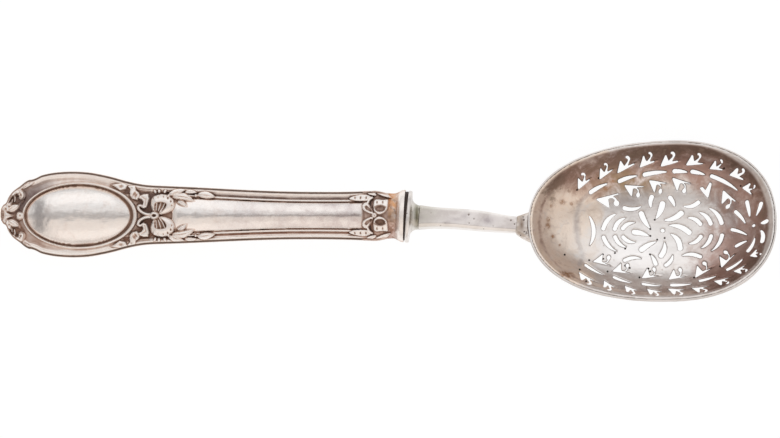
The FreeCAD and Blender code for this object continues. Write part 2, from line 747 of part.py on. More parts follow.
def bowl_placement():
    """The bowl rolled to one side, with its underside on the table."""
    turn = Rotation(Vector(0, 0, 1), BOWL_YAW) * Rotation(Vector(1, 0, 0), BOWL_ROLL)
    lowest = 0
    width = BOWL_HALF_WIDTH + BOWL_SHEET
    for step in range(LIFT_STEPS):
        y = width * (2 * step / LIFT_STEPS - 1)
        z = -(BOWL_DEPTH + BOWL_SHEET) * (1 - ring_share(0, y, BOWL_SHEET) ** WALL_POWER)
        lowest = min(lowest, turn.multVec(Vector(0, y, z)).z)
    return Placement(Vector(BOWL_CENTRE_X, BOWL_CENTRE_Y, -lowest), turn)


def handle_placement(stem_end):
    """The handle resting on its back dome, its line aimed at the height of the stem's far end."""
    pitch = math.atan2(stem_end.z - DOME_TOP, stem_end.x - CARTOUCHE_X)
    dome_spread = math.sqrt(1 - ((DOME_EDGE - DOME_TOP + DOME_ROUND) / DOME_ROUND) ** 2)
    reach = math.hypot(DOME_HALF_LENGTH / dome_spread * math.sin(pitch), DOME_ROUND * math.cos(pitch))
    lift = reach - CARTOUCHE_X * math.sin(pitch) - (DOME_ROUND - DOME_TOP) * math.cos(pitch)
    return Placement(Vector(0, 0, lift), Rotation(Vector(0, 1, 0), -math.degrees(pitch)))


def stem_placement(mouth, end):
    """The stem's frame: from the mouth to the bowl, rolled with the bowl."""
    run = end - mouth
    yaw = math.degrees(math.atan2(run.y, run.x))
    pitch = math.degrees(math.atan2(run.z, math.hypot(run.x, run.y)))
    aim = Rotation(Vector(0, 0, 1), yaw) * Rotation(Vector(0, 1, 0), -pitch)
    return Placement(mouth, aim * Rotation(Vector(1, 0, 0), BOWL_ROLL))


def filling_solid(hollow, handle_place, stem_place, tang):
    """The pitch that fills both shells as far as the bolster's back."""
    whole = placed(hollow.fuse(mirrored(hollow)).removeSplitter(), handle_place)
    size = 2 * HANDLE_LENGTH
    ahead = placed(Part.makeBox(size, size, size, Vector(0, -size / 2, -size / 2)), stem_place)
    return whole.cut(ahead).cut(tang)


def spoon():
    """Every piece by name, in place, with the handle's butt near X = 0."""
    bowl_place = bowl_placement()
    joint_reach = BOWL_STEM_REACH + BOWL_SHEET + WIRE_WIDTH + LUG_REACH
    stem_end = bowl_place.multVec(Vector(-joint_reach, STEM_END_OFFSET, -STEM_END_DEPTH))
    handle_place = handle_placement(stem_end)
    mouth = handle_place.multVec(Vector(HANDLE_LENGTH + BOLSTER_GAP, BOLSTER_OFFSET, 0))
    stem_place = stem_placement(mouth, stem_end)
    stem_length = mouth.distanceToPoint(stem_end)
    hollow = front_hollow()
    front = front_shell(hollow)
    tang = placed(tang_solid(), stem_place)
    return {
        "handle_front_shell": placed(front, handle_place),
        "handle_back_shell": placed(mirrored(front), handle_place),
        "handle_filling": filling_solid(hollow, handle_place, stem_place, tang),
        "tang": tang,
        "bolster": placed(bolster_solid(), stem_place),
        "stem": placed(stem_solid(stem_length), stem_place),
        "bowl_lug": lug_solid(bowl_place, stem_place, stem_length),
        "bowl": placed(bowl_solid(), bowl_place),
        "rim_wire": placed(rim_wire_solid(), bowl_place),
    }


def stand_shift(pieces):
    """The move that brings the middle of the spoon's footprint to the origin, with its underside at zero."""
    names = ("handle_front_shell", "handle_back_shell", "rim_wire")
    box = Part.makeCompound([pieces[name] for name in names]).optimalBoundingBox(False)
    return Vector(-(box.XMin + box.XMax) / 2, -(box.YMin + box.YMax) / 2, 0)


pieces = spoon()
shift = stand_shift(pieces)
os.makedirs("parts", exist_ok=True)
for name, shape in pieces.items():
    shape.translate(shift)
    shape.exportStep("parts/" + name + ".step")
    print(name, shape.isValid(), len(shape.Solids), round(shape.Volume, 1))
print("shift", shift)
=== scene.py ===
import math

import bpy
import numpy as np
from mathutils import Matrix, Vector


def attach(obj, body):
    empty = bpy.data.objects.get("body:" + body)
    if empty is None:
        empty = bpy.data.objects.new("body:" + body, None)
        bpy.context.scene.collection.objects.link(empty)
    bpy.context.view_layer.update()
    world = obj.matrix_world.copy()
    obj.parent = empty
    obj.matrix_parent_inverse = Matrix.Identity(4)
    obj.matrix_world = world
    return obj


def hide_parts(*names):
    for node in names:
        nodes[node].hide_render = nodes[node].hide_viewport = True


# A pierced sugar spoon with a stamped silver handle. All shapes are worked out in millimetres,
# in the handle's or the bowl's own frame or in the spoon's, and are then placed in metres.

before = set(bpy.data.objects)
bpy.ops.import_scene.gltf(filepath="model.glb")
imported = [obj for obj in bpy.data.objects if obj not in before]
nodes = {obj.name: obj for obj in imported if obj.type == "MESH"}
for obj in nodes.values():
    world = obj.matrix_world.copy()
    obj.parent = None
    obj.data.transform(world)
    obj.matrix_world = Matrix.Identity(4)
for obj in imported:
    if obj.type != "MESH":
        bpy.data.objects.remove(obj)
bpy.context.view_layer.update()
scene = bpy.context.scene

MM = 0.001
SHIFT = Vector((-105.17153, 1.02903, 0))
HANDLE_LIFT = 4.91611
HANDLE_PITCH = math.radians(2.74182)
BOWL_CENTRE = Vector((182.1, -0.88, 13.8514)) + SHIFT
BOWL_YAW = math.radians(2.1)
BOWL_ROLL = math.radians(-12)
# the photograph's width in pixels, a pixel in millimetres, and the row and the slope of the spoon's axis
WIDTH = 780
PIXEL = 0.27044
AXIS_ROW = 214.2
AXIS_SLOPE = 0.00446

# Small helpers


def unit(value):
    return np.clip(value, 0, 1)


def ease(low, high, value):
    """0 below low, 1 above high, smooth between."""
    t = unit((value - low) / (high - low))
    return t * t * (3 - 2 * t)


def plateau(start, full, last, end, value):
    """1 between full and last, fading to 0 at start and at end."""
    return ease(start, full, value) * (1 - ease(last, end, value))


def bell(value, middle, width):
    return np.exp(-(((value - middle) / width) ** 2))


def arch(share):
    """A quarter circle: 1 at 0, 0 at 1 and beyond."""
    return np.sqrt(unit(1 - share**2))


def swell(t, power):
    """From 0 at 0, steep at first and rounding off to 1 at 1."""
    return (1 - (1 - t) ** power) ** (1 / power)


def smooth_max(a, b, k):
    """Upper envelope of two heights, rounded where they meet over about k."""
    h = unit(0.5 + 0.5 * (a - b) / k)
    return b + (a - b) * h + k * h * (1 - h)


def curve(points, steps, closed=False):
    """Dense points on a smooth line through the given ones."""
    p = np.array(points, float)
    if closed:
        p = np.vstack([p[-1], p, p[0], p[1]])
    else:
        p = np.vstack([2 * p[0] - p[1], p, 2 * p[-1] - p[-2]])
    t = np.linspace(0, 1, steps, endpoint=False)[:, None]
    runs = []
    for a, b, c, d in zip(p, p[1:], p[2:], p[3:]):
        runs.append(0.5 * (2 * b + (c - a) * t + (2 * a - 5 * b + 4 * c - d) * t**2
                           + (3 * b - a - 3 * c + d) * t**3))
    return np.vstack(runs if closed else runs + [p[-2]])


def near_line(x, y, line):
    """Distance to an open line of points, and the share of its length at the nearest place."""
    best = np.full(x.shape, 1e9)
    share = np.zeros(x.shape)
    lengths = np.hypot(*np.diff(line, axis=0).T)
    total = lengths.sum()
    gone = 0
    for (ax, ay), (bx, by), run in zip(line[:-1], line[1:], lengths):
        if run < 1e-9:
            continue
        t = unit(((x - ax) * (bx - ax) + (y - ay) * (by - ay)) / run**2)
        d = np.hypot(x - ax - t * (bx - ax), y - ay - t * (by - ay))
        nearer = d < best
        best = np.where(nearer, d, best)
        share = np.where(nearer, (gone + t * run) / total, share)
        gone += run
    return best, share


def inside_depth(x, y, outline):
    """Distance inside a closed outline; negative outside it."""
    ring = np.vstack([outline, outline[:1]])
    inside = np.zeros(x.shape, bool)
    for (ax, ay), (bx, by) in zip(ring[:-1], ring[1:]):
        if ay != by:
            inside ^= ((ay > y) != (by > y)) & (x < (bx - ax) * (y - ay) / (by - ay) + ax)
    d, _ = near_line(x, y, ring)
    return np.where(inside, d, -d)


def oval_inset(x, v, cx, a, b):
    """Signed distance from an oval, negative inside it."""
    f = np.sqrt(((x - cx) / a) ** 2 + (v / b) ** 2) + 1e-9
    grad = np.sqrt(((x - cx) / a**2) ** 2 + (v / b**2) ** 2) / f + 1e-9
    return (f - 1) / grad


def waves(x, y, seed, size, count=14):
    """Smooth seeded unevenness between about -1 and 1, with features about size across."""
    rng = np.random.default_rng(seed)
    total = np.zeros(np.broadcast(x, y).shape)
    for _ in range(count):
        turn = rng.uniform(0, 2 * math.pi)
        pace = rng.uniform(0.5, 1.6) * 2 * math.pi / size
        phase = rng.uniform(0, 2 * math.pi)
        total = total + np.sin((x * math.cos(turn) + y * math.sin(turn)) * pace + phase)
    return total / math.sqrt(count) / 1.2


def leaf_outline(start, end, width, bend):
    """A pointed leaf between two places."""
    a, b = np.array(start, float), np.array(end, float)
    along = b - a
    side = np.array((-along[1], along[0])) / np.hypot(*along)
    s = np.linspace(0, 1, 9)
    spine = a + along * s[:, None] + side * (bend * 4 * s * (1 - s))[:, None]
    half = (width / 2 * np.sin(math.pi * s ** 0.85) ** 0.8)[:, None] * side
    return np.vstack([spine + half, (spine - half)[-2:0:-1]]), spine


class Relief:
    """Heights, and grime with painted shade, over scattered places, to which forms are added one by one.

    A form is drawn on both sides of the axis unless both is False. Its floor is a height, a function
    of the place, or None for what lies there already.
    """

    def __init__(self, x, y, ground):
        self.x, self.y = x, y
        self.h = ground
        self.dirt = np.zeros(x.shape)

    def sides(self, points, margin, both=True):
        """Each side's line, with the mask and the coordinates of the places near it."""
        for side in (1, -1) if both else (1,):
            line = np.array(points, float) * (1, side)
            lo, hi = line.min(0) - margin, line.max(0) + margin
            w = (self.x > lo[0]) & (self.x < hi[0]) & (self.y > lo[1]) & (self.y < hi[1])
            yield side, line, w, self.x[w], self.y[w]

    def ovals(self, place, radii, both):
        """Each side's distances from a place, as shares of its radii."""
        for side in (1, -1) if both else (1,):
            yield np.hypot((self.x - place[0]) / radii[0], (self.y - place[1] * side) / radii[1])

    def stain(self, amount, w=...):
        self.dirt[w] = np.maximum(self.dirt[w], amount)

    def soil(self, w, gap, amount):
        """A painted shadow line just outside a form, and none on the form itself; gap is the distance from
        its edge.
        """
        if amount:
            self.dirt[w] = np.where(gap < -0.1, 0, self.dirt[w])
            self.stain(np.where(gap > -0.06, amount * bell(gap, 0.07, 0.14), 0), w)

    def lift(self, w, covered, up, floor, k=0.05):
        """Stands a form on its floor."""
        base = self.h[w] if floor is None else floor(self.x[w], self.y[w]) if callable(floor) else floor
        self.h[w] = np.where(covered, smooth_max(base + up, self.h[w], k), self.h[w])

    def patch(self, outline, rise, edge, floor, power=2, crease=(), soil=0.45):
        """A closed form, rounded over edge and cut by creases."""
        for side, line, w, x, y in self.sides(outline, 0.6):
            depth = inside_depth(x, y, line)
            t = unit(depth / edge)
            up = rise * swell(t, power)
            self.soil(w, -depth, soil)
            for cut, width, deep in crease:
                fall = bell(near_line(x, y, np.array(cut, float) * (1, side))[0], 0, width) * (t > 0)
                up = up - deep * fall
                # painted shade in the crease
                self.stain(0.35 * fall, w)
            self.lift(w, depth > 0, up, floor, 0.06)

    def leaf(self, start, end, width, bend, rise, edge, floor, vein=None, power=2):
        """A leaf with a vein of the given width and depth."""
        outline, spine = leaf_outline(start, end, width, bend)
        self.patch(outline, rise, edge, floor, power, ((spine, *vein),) if vein else ())

    def ridge(self, line, width, rise, end=1, floor=None, k=0.05, soil=0.35, both=True):
        """A rounded cord along an open line; end is the share of its size that is left there."""
        for _, path, w, x, y in self.sides(line, width + 0.6, both):
            d, share = near_line(x, y, path)
            scale = 1 + (end - 1) * share
            up = arch(d / (width * scale))
            self.soil(w, d - width * scale, soil)
            self.lift(w, up > 0, rise * scale * up, floor, k)

    def bump(self, place, radii, rise, floor, power=2, soil=0.45, both=True):
        """A rounded knob."""
        for r in self.ovals(place, radii, both):
            near = r < 3
            self.soil(near, ((r - 1) * min(radii))[near], soil)
            self.lift(..., r < 1, rise * swell(1 - unit(r), power), floor)

    def sink(self, outline, deep, edge, dirt, both=True):
        """A closed hollow."""
        for _, line, w, x, y in self.sides(outline, 0.1, both):
            depth = inside_depth(x, y, line)
            self.h[w] -= deep * ease(0, edge, depth)
            # painted shade, with grime, darkens the hollow
            self.stain(dirt * unit(depth / edge), w)

    def pit(self, place, radii, deep, dirt, both=True):
        """A soft oval hollow."""
        for r in self.ovals(place, radii, both):
            self.h -= deep * np.exp(-(r**3))
            # painted shade, with grime, darkens the pit
            self.stain(dirt * np.exp(-(r**3)))

    def groove(self, line, width, deep, dirt, both=True):
        """A soft cut along an open line."""
        for _, path, w, x, y in self.sides(line, 3 * width, both):
            fall = bell(near_line(x, y, path)[0], 0, width)
            self.h[w] -= deep * fall
            # painted shade, with grime, darkens the groove
            self.stain(dirt * fall, w)


def add_object(name, data):
    thing = bpy.data.objects.new(name, data)
    scene.collection.objects.link(thing)
    return thing


def add_values(piece, **marks):
    """Values for each vertex, which the materials read by their names."""
    for name, values in marks.items():
        attribute = piece.data.attributes.new(name, "FLOAT", "POINT")
        attribute.data.foreach_set("value", np.asarray(values, np.float32))


# Materials


class Shader:
    """A node tree being written, with its colour and its fine unevenness so far."""

    def __init__(self, name, kind="materials"):
        self.owner = getattr(bpy.data, kind).new(name)
        self.owner.use_nodes = True
        self.tree = self.owner.node_tree
        self.tree.nodes.clear()
        self.color = None
        self.normal = {}

    def node(self, kind, props=None, **inputs):
        """A node; i0, i1 and so on stand for the sockets by number."""
        n = self.tree.nodes.new("ShaderNode" + kind)
        for key, value in (props or {}).items():
            setattr(n, key, value)
        for key, value in inputs.items():
            socket = n.inputs[int(key[1:]) if key[1:].isdigit() else key.replace("_", " ")]
            if isinstance(value, bpy.types.NodeSocket):
                self.tree.links.new(value, socket)
            else:
                color = socket.type == "RGBA"
                socket.default_value = (*value, 1) if color else value
        return n

    def math(self, operation, a, b=0, c=0):
        return self.node("Math", {"operation": operation}, i0=a, i1=b, i2=c).outputs[0]

    def times(self, a, b):
        return self.math("MULTIPLY", a, b)

    def plus(self, a, b):
        return self.math("ADD", a, b)

    def scaled(self, a, factor, added):
        return self.math("MULTIPLY_ADD", a, factor, added)

    def rest(self, a):
        return self.math("SUBTRACT", 1, a)

    def noise(self, vector, scale, detail=3, rough=0.55, distortion=0):
        return self.node("TexNoise", Vector=vector, Scale=scale, Detail=detail, Roughness=rough,
                         Distortion=distortion).outputs["Fac"]

    def ramp(self, fac, low, high):
        """0 below low, 1 above high, smooth between."""
        return self.node("MapRange", {"interpolation_type": "SMOOTHSTEP"}, i0=fac, i1=low, i2=high).outputs[0]

    def mix(self, fac, a, b, mode="MIX"):
        return self.node("Mix", {"data_type": "RGBA", "blend_type": mode}, i0=fac, i6=a, i7=b).outputs[2]

    def mark(self, name):
        return self.node("Attribute", {"attribute_name": name}).outputs["Fac"]

    def place(self, scale=(1, 1, 1)):
        return self.node("Mapping", Vector=self.node("TexCoord").outputs["Object"], Scale=scale).outputs[0]

    def cover(self, paint, amount, share=None):
        """Lays a paint over the colour, by amount times share."""
        self.color = self.mix(amount if share is None else self.times(amount, share), self.color, paint)

    def bump(self, height, strength, distance):
        bump = self.node("Bump", Height=height, Strength=strength, Distance=distance, **self.normal)
        self.normal = {"Normal": bump.outputs[0]}

    def finish(self, shader, output="OutputMaterial"):
        self.node(output, i0=shader.outputs[0])
        return self.owner

    def metal(self, rough, metallic=1):
        return self.finish(self.node("BsdfPrincipled", Base_Color=self.color, Roughness=rough,
                                     Metallic=metallic, **self.normal))


SILVER = (0.94, 0.885, 0.845)
SILVER_COOL = (0.86, 0.845, 0.835)
SILVER_MATTE = (1, 0.935, 0.885)
SILVER_WORN = (0.97, 0.93, 0.9)
SILVER_DULL = (0.5, 0.4, 0.395)
WARM = (0.68, 0.5, 0.41)
BROWN = (0.33, 0.205, 0.15)
DEEP = (0.125, 0.083, 0.06)
PURPLE = (0.25, 0.18, 0.165)
RUST = (0.36, 0.2, 0.145)
ORANGE = (0.74, 0.39, 0.19)
OLIVE = (0.17, 0.125, 0.085)
TAWNY = (0.54, 0.34, 0.21)
PINK = (0.74, 0.56, 0.5)


def handle_silver():
    s = Shader("handle_silver")
    p = s.place()
    cavity, dirt, worn, matte, tarnish, belt, lip = map(
        s.mark, ("cavity", "dirt", "worn", "matte", "tarnish", "belt", "lip"))
    clouds = s.noise(p, 140, 4, 0.6, 0.4)
    fine = s.noise(p, 900, 4, 0.65)
    grain = s.noise(p, 420, 5, 0.7, 0.3)
    along, across, _ = s.node("SeparateXYZ", Vector=s.node("TexCoord").outputs["Object"]).outputs
    s.color = s.mix(s.times(s.ramp(clouds, 0.36, 0.7), 0.45), SILVER, SILVER_COOL)
    s.cover(WARM, s.ramp(grain, 0.5, 0.75), 0.22)
    # the panel grows duller and more purple towards the collar
    dull = s.times(s.ramp(along, -0.062, -0.012), s.ramp(s.plus(clouds, grain), 0.55, 1.5))
    s.cover(SILVER_DULL, dull, s.scaled(matte, -0.8, 0.8))
    s.cover(SILVER_MATTE, matte, 0.85)
    s.cover(WARM, s.ramp(s.noise(p, 2400, 2, 0.6), 0.35, 0.75), 0.12)
    # painted shade in hollows and round raised forms, with tarnish and grime, turns the silver warm and brown
    deep = s.plus(s.scaled(fine, 0.22, -0.11), cavity)
    deep = s.plus(deep, s.times(dirt, s.scaled(grain, 1, 0.5)))
    s.cover(WARM, s.ramp(deep, 0.16, 0.55), 0.85)
    s.cover(BROWN, s.ramp(deep, 0.42, 0.95), 0.92)
    stain = s.times(tarnish, s.ramp(s.scaled(grain, 0.6, clouds), 0.45, 1.05))
    tint = s.mix(s.ramp(across, -0.004, 0.004), RUST, PURPLE)
    s.cover(tint, s.scaled(tarnish, 0.65, s.times(stain, 0.5)))
    # the belt is rusty: orange on its upper part, brown in the middle and pink on the lower part
    spots = s.noise(p, 560, 4, 0.65, 0.4)
    rust = s.mix(s.ramp(spots, 0.5, 0.66), ORANGE, OLIVE)
    rust = s.mix(s.ramp(across, 0.0018, 0.0032), s.mix(s.ramp(spots, 0.4, 0.6), TAWNY, BROWN), rust)
    rust = s.mix(s.ramp(across, -0.0025, 0.001), s.mix(s.ramp(spots, 0.42, 0.6), PINK, RUST), rust)
    rust = s.mix(s.times(lip, 0.45), rust, s.mix(grain, PURPLE, RUST))
    s.cover(rust, belt, s.ramp(grain, 0.15, 0.6))
    # the deepest painted shade is nearly black
    s.cover(DEEP, s.ramp(deep, 0.95, 1.6))
    s.cover(SILVER_WORN, worn, 0.5)
    scratch = s.noise(s.place((260, 2600, 900)), 1, 2, 0.5)
    s.bump(clouds, 0.05, 0.0012)
    s.bump(s.scaled(scratch, 0.35, fine), 0.14, 0.00025)
    rough = s.scaled(s.ramp(deep, 0.2, 0.8), 0.24, 0.17)
    return s.metal(s.plus(rough, s.scaled(matte, 0.2, s.times(fine, 0.08))))


def stem_silver():
    s = Shader("stem_silver")
    p = s.place()
    clouds = s.noise(p, 160, 4, 0.6, 0.5)
    fine = s.noise(p, 1100, 5, 0.7)
    stain = s.noise(s.place((1, 1.6, 1)), 95, 3, 0.55, 0.8)
    s.color = s.mix(s.ramp(clouds, 0.35, 0.7), (0.84, 0.795, 0.755), (0.93, 0.89, 0.86))
    # painted shade dulls the stem bar's upward-facing flat top; on the bolster the same mark dulls a band
    # across the disc
    dull = s.mix(s.ramp(clouds, 0.38, 0.62), (0.7, 0.635, 0.605), (0.86, 0.8, 0.77))
    s.cover(dull, s.mark("top"))
    # painted shadow on and by the bolster's neck, grey-green
    s.cover((0.46, 0.44, 0.35), s.mark("green"), s.ramp(clouds, 0.2, 0.6))
    s.cover((0.45, 0.39, 0.4), s.ramp(stain, 0.56, 0.68), 0.35)
    # dull purple spots; the largest is a painted purple-grey reflection
    s.cover((0.33, 0.27, 0.29), s.mark("bruise"), s.scaled(fine, 1.6, 0.1))
    # painted shade of a notch where the neck meets the stem
    s.cover((0.15, 0.13, 0.075), s.mark("notch"))
    specks = s.ramp(s.noise(p, 520, 2, 0.4), 0.7, 0.76)
    pits = s.math("MAXIMUM", specks, s.ramp(s.mark("pitted"), 0.25, 0.8))
    s.cover((0.17, 0.125, 0.1), pits, 0.8)
    s.bump(clouds, 0.08, 0.0012)
    s.bump(s.scaled(pits, -0.8, fine), 0.2, 0.0003)
    return s.metal(s.scaled(fine, 0.18, 0.22))


def lug_silver():
    """The joint's rough solder, brownish and full of pits."""
    s = Shader("lug_silver")
    p = s.place()
    clouds = s.noise(p, 300, 4, 0.6, 0.6)
    fine = s.noise(p, 1000, 5, 0.7)
    s.color = s.mix(s.ramp(clouds, 0.34, 0.6), (0.6, 0.505, 0.43), (0.86, 0.8, 0.76))
    # painted shade on the step down to the solder
    s.cover((0.33, 0.245, 0.195), s.mark("recess"), s.ramp(clouds, 0.2, 0.55))
    specks = s.ramp(s.noise(p, 620, 2, 0.4), 0.66, 0.74)
    pits = s.math("MAXIMUM", specks, s.ramp(s.mark("pitted"), 0.2, 0.75))
    s.cover((0.13, 0.09, 0.075), pits, 0.85)
    s.bump(s.scaled(pits, -1, fine), 0.3, 0.0003)
    return s.metal(s.scaled(fine, 0.2, 0.28))


# vertex values that colour the bowl, their colours and strengths: tan, brown and dark are tarnish, grey is
# painted shade
BOWL_STAINS = (("tan", (1, 0.83, 0.685), 0.86), ("grey", (0.5, 0.445, 0.43), 0.7),
               ("brown", (0.41, 0.245, 0.2), 0.92), ("dark", (0.17, 0.115, 0.085), 0.92))


def bowl_silver(name, rim=False):
    """Tarnished silver with painted shade and a painted highlight. The bowl's vertex values say where it is
    tan, brown or dark, and where painted shade and the painted highlight lie.
    """
    s = Shader(name)
    p = s.place()
    clouds = s.noise(p, 75, 5, 0.62, 0.6)
    patches = s.noise(p, 230, 5, 0.68, 0.8)
    fine = s.noise(p, 1000, 5, 0.7)
    brushed = s.noise(s.place((110, 900, 900)), 1, 4, 0.6)
    uneven = s.scaled(s.scaled(clouds, 0.4, s.times(patches, 0.6)), 0.85, s.times(fine, 0.15))
    s.color = s.mix(s.ramp(clouds, 0.35, 0.68), (0.89, 0.84, 0.805), (0.8, 0.745, 0.71))
    if rim:
        s.cover((0.66, 0.59, 0.54), s.ramp(uneven, 0.45, 0.62), 0.35)
        # dark in the joint on the wire's inner side, and painted shade on its outer side
        s.cover((0.26, 0.2, 0.17), s.mark("joint"))
    else:
        for stain, paint, share in BOWL_STAINS:
            amount = s.mark(stain)
            edge = s.ramp(s.plus(amount, s.scaled(uneven, 3.2, -1.6)), 0.05, 1.05)
            edge = s.times(edge, s.ramp(amount, 0, 0.25))
            if stain in ("brown", "dark"):
                edge = s.times(edge, s.mark("inner"))
            s.cover(paint, edge, share)
        s.cover((0.52, 0.39, 0.31), s.ramp(patches, 0.5, 0.72), 0.35)
        s.cover((0.4, 0.29, 0.24), s.ramp(brushed, 0.56, 0.7), 0.22)
        # painted highlight on the bowl's floor
        s.cover((1, 0.97, 0.955), s.mark("bright"), 0.95)
        s.cover((0.3, 0.17, 0.1), s.ramp(s.noise(p, 330, 2, 0.5), 0.69, 0.76), 0.5)
        s.cover((0.36, 0.26, 0.15), s.mark("olive"), s.ramp(patches, 0.34, 0.62))
        s.cover((0.4, 0.21, 0.11), s.mark("rusty"), s.ramp(s.noise(p, 1100, 3, 0.6), 0.28, 0.62))
        # the cut walls of the openings are painted dark: painted shade
        s.cover((0.13, 0.09, 0.07), s.mark("cut"))
        s.cover((0.035, 0.024, 0.018), s.ramp(s.mark("drill"), 0.25, 0.7))
    s.bump(clouds, 0.1, 0.0015)
    s.bump(s.scaled(brushed, 0.5, fine), 0.2, 0.0003)
    return s.metal(s.scaled(fine, 0.2, 0.22))


def inner_material(name, scale, dark, pale, rough, unevenness, metallic):
    s = Shader(name)
    fine = s.noise(s.place(), scale, 4, 0.6)
    s.color = s.mix(fine, dark, pale)
    s.bump(fine, unevenness, 0.0003)
    return s.metal(s.scaled(fine, 0.3, rough), metallic)


HANDLE = handle_silver()
STEM = stem_silver()
LUG = lug_silver()
BOWL = bowl_silver("bowl_silver")
RIM = bowl_silver("rim_silver", rim=True)
PITCH = inner_material("pitch", 700, (0.014, 0.007, 0.004), (0.06, 0.03, 0.018), 0.45, 0.5, 0)
STEEL = inner_material("tang_steel", 500, (0.24, 0.22, 0.2), (0.42, 0.4, 0.38), 0.3, 0.4, 1)

# Handle relief: x runs from the butt, y or v across, and heights stand over the seam between the halves

LENGTH = 109.9
SHEET = 0.5
# middle along the handle and radii of the cartouche's ring and of its dome's foot
RING_OUTER = (22.07, 15.75, 9.12)
RING_INNER = (21.85, 14.75, 8.5)
DOME_FOOT = (21.8, 14.42, 8.2)
DOME_MIDDLE = 21.6
MOAT_FLOOR = 2.65
# insets from the outline of the shaft's bead and of its panel, and the floor between them
BEAD_INSET = 2.52
PANEL_INSET = 3.02
PANEL_FLOOR = 3
OUTLINE = (
    (0.36, 0.3), (0.45, 1.05), (0.66, 1.85), (1.2, 2.6), (1.95, 3.15), (2.57, 4.6), (3.65, 6.1), (4.73, 7),
    (5.8, 7.75), (7, 8.75), (8.1, 9.35), (9, 9.5), (10.1, 9.9), (11.8, 10.7), (15, 11.36), (18.3, 11.64),
    (21.5, 11.66), (24.7, 11.42), (28, 10.85), (31.2, 10.12), (34.5, 9.2), (37.7, 8.5), (41, 8.08),
    (46.9, 7.84), (53.4, 7.57), (63.1, 7.1), (71, 6.76), (80, 6.52), (92, 6.5), (99.5, 6.7), (102.2, 6.78),
    (104, 6.5), (105.3, 6.2), (107.2, 6.1), (108.3, 6.55), (109.1, 6.95), (109.9, 7.1),
)
HALF_LINE = curve(OUTLINE, 8)
BUTT = OUTLINE[0][0]
# the outline's upper half, closed well past the mouth and below the axis
HALF_SHAPE = np.vstack([HALF_LINE, [[LENGTH + 9, 7.1], [LENGTH + 9, -9], [-9, -9], [-9, 0], [BUTT, 0]]])
# start, end and step of the rows of vertices
ROW_SPANS = ((BUTT + 0.02, 1.1, 0.06), (1.1, 9, 0.11), (9, 30.5, 0.16), (30.5, 60, 0.12),
             (60, 94, 0.42), (94, 109.9, 0.12))
EDGE_STEPS = (0, 0.003, 0.012, 0.03, 0.06, 0.11, 0.18, 0.27, 0.38, 0.5)
INNER_COLUMNS = 72
HOLLOW_COLUMNS = 14

# the bow: loops, gathers with width and height, dents with their painted shade, and the tails' folds
# with height, rounding and creases
LOOP = (
    (41.95, 1.08), (41.32, 3.03), (41.7, 4.71), (42.89, 5.54), (44.6, 5.79), (46.52, 5.3), (47.73, 4.22),
    (47.98, 2.79), (47.25, 1.33), (46.06, 0.49), (44.35, 0.11), (42.9, 0.3),
)
LOOP_HOLLOW = (
    (42.3, 1.5), (42.3, 2.6), (42.6, 3.5), (44.11, 3.85), (45.6, 3.45), (45.9, 2.7), (45.2, 1.5), (44, 0.6),
    (43, 0.8),
)
GATHERS = ((((43.14, 3.5), (42.9, 2.4), (42.9, 1.2)), 0.3, 0.85),
           (((45.2, 3.2), (44.7, 2), (43.9, 0.9)), 0.3, 0.85),
           (((44.2, 3.5), (43.8, 2.2), (43.4, 1.1)), 0.24, 0.6))
LOOP_DENTS = (((42, 4.6), 0.35), ((43.4, 5), 0.4), ((44.9, 5.1), 0.55), ((46.1, 4.7), 0.9),
              ((46.95, 3.8), 1), ((47.2, 2.7), 0.6))
SCROLL = ((41.2, 0.35), (40.3, 0.42), (39.2, 0.85), (38.4, 1.5), (38.05, 2.25), (38.4, 2.75), (38.95, 2.65))
FOLDS = (
    (((37.9, 4.75), (38.4, 5.4), (39.4, 5.75), (40.8, 5.75), (41.1, 4.71), (40.8, 3.4), (40.4, 2.2),
      (39.5, 1.8), (38.8, 2.2), (39.35, 3.6), (38.9, 4.3)), 1.25, 0.5,
     ((((38.9, 5), (40.1, 4.3), (39.9, 2.6)), 0.2, 0.3),)),
    (((35.5, 5.6), (36.2, 6.5), (37, 7.1), (38.1, 6.3), (38.5, 5.5), (37.9, 4.1), (36.4, 4.5)), 1.15, 0.5,
     ((((36.4, 5), (37.2, 6.3)), 0.22, 0.45), (((37, 4.8), (37.8, 5.9)), 0.2, 0.4))),
    (((35, 8), (37, 8.1), (37.45, 6.87), (36.6, 5.9), (35.91, 5.44), (35.5, 6.3), (35.78, 7.11)),
     1, 0.45, ()),
    (((31.8, 8.57), (33.72, 8.75), (35.1, 8.2), (34.7, 7.11), (32.99, 6.76), (31.07, 8.09), (30.2, 8.3)),
     0.95, 0.45, ()),
)
FOLD_DENTS = (((33.3, 7.9), (0.6, 0.42), 0.5), ((34.75, 6.35), (0.85, 0.45), 0.7),
              ((37.2, 5.6), (0.4, 0.5), 0.5), ((36.1, 7.5), (0.3, 0.35), 0.35))
# start, end and width of leaves; the laurel's also have a bend and a height
BOW_LEAVES = (((42.9, 5.9), (42.2, 7), 0.8), ((43.7, 6), (43.6, 7.2), 0.8),
              ((44.9, 6), (45.6, 7), 0.85))
LEAVES = (
    ((45.9, 5.3), (50.8, 6.95), 1.6, 0.2, 1.15), ((46.8, 5.1), (53.4, 3.8), 2.35, 0.62, 1.4), ((50.4, 6.2),
    (54, 6.15), 1.1, 0.2, 0.95), ((53.8, 5.6), (59, 4.95), 1.95, 0.25, 1.2), ((48.3, 3.85), (51.4, 2.35),
    1.6, 0.3, 1.6),
)
BERRIES = ((53.6, 5.35), (46.2, 5.3))
TWIG = ((46.4, 5.35), (50, 5.6), (53.2, 5.3), (55, 5.5))

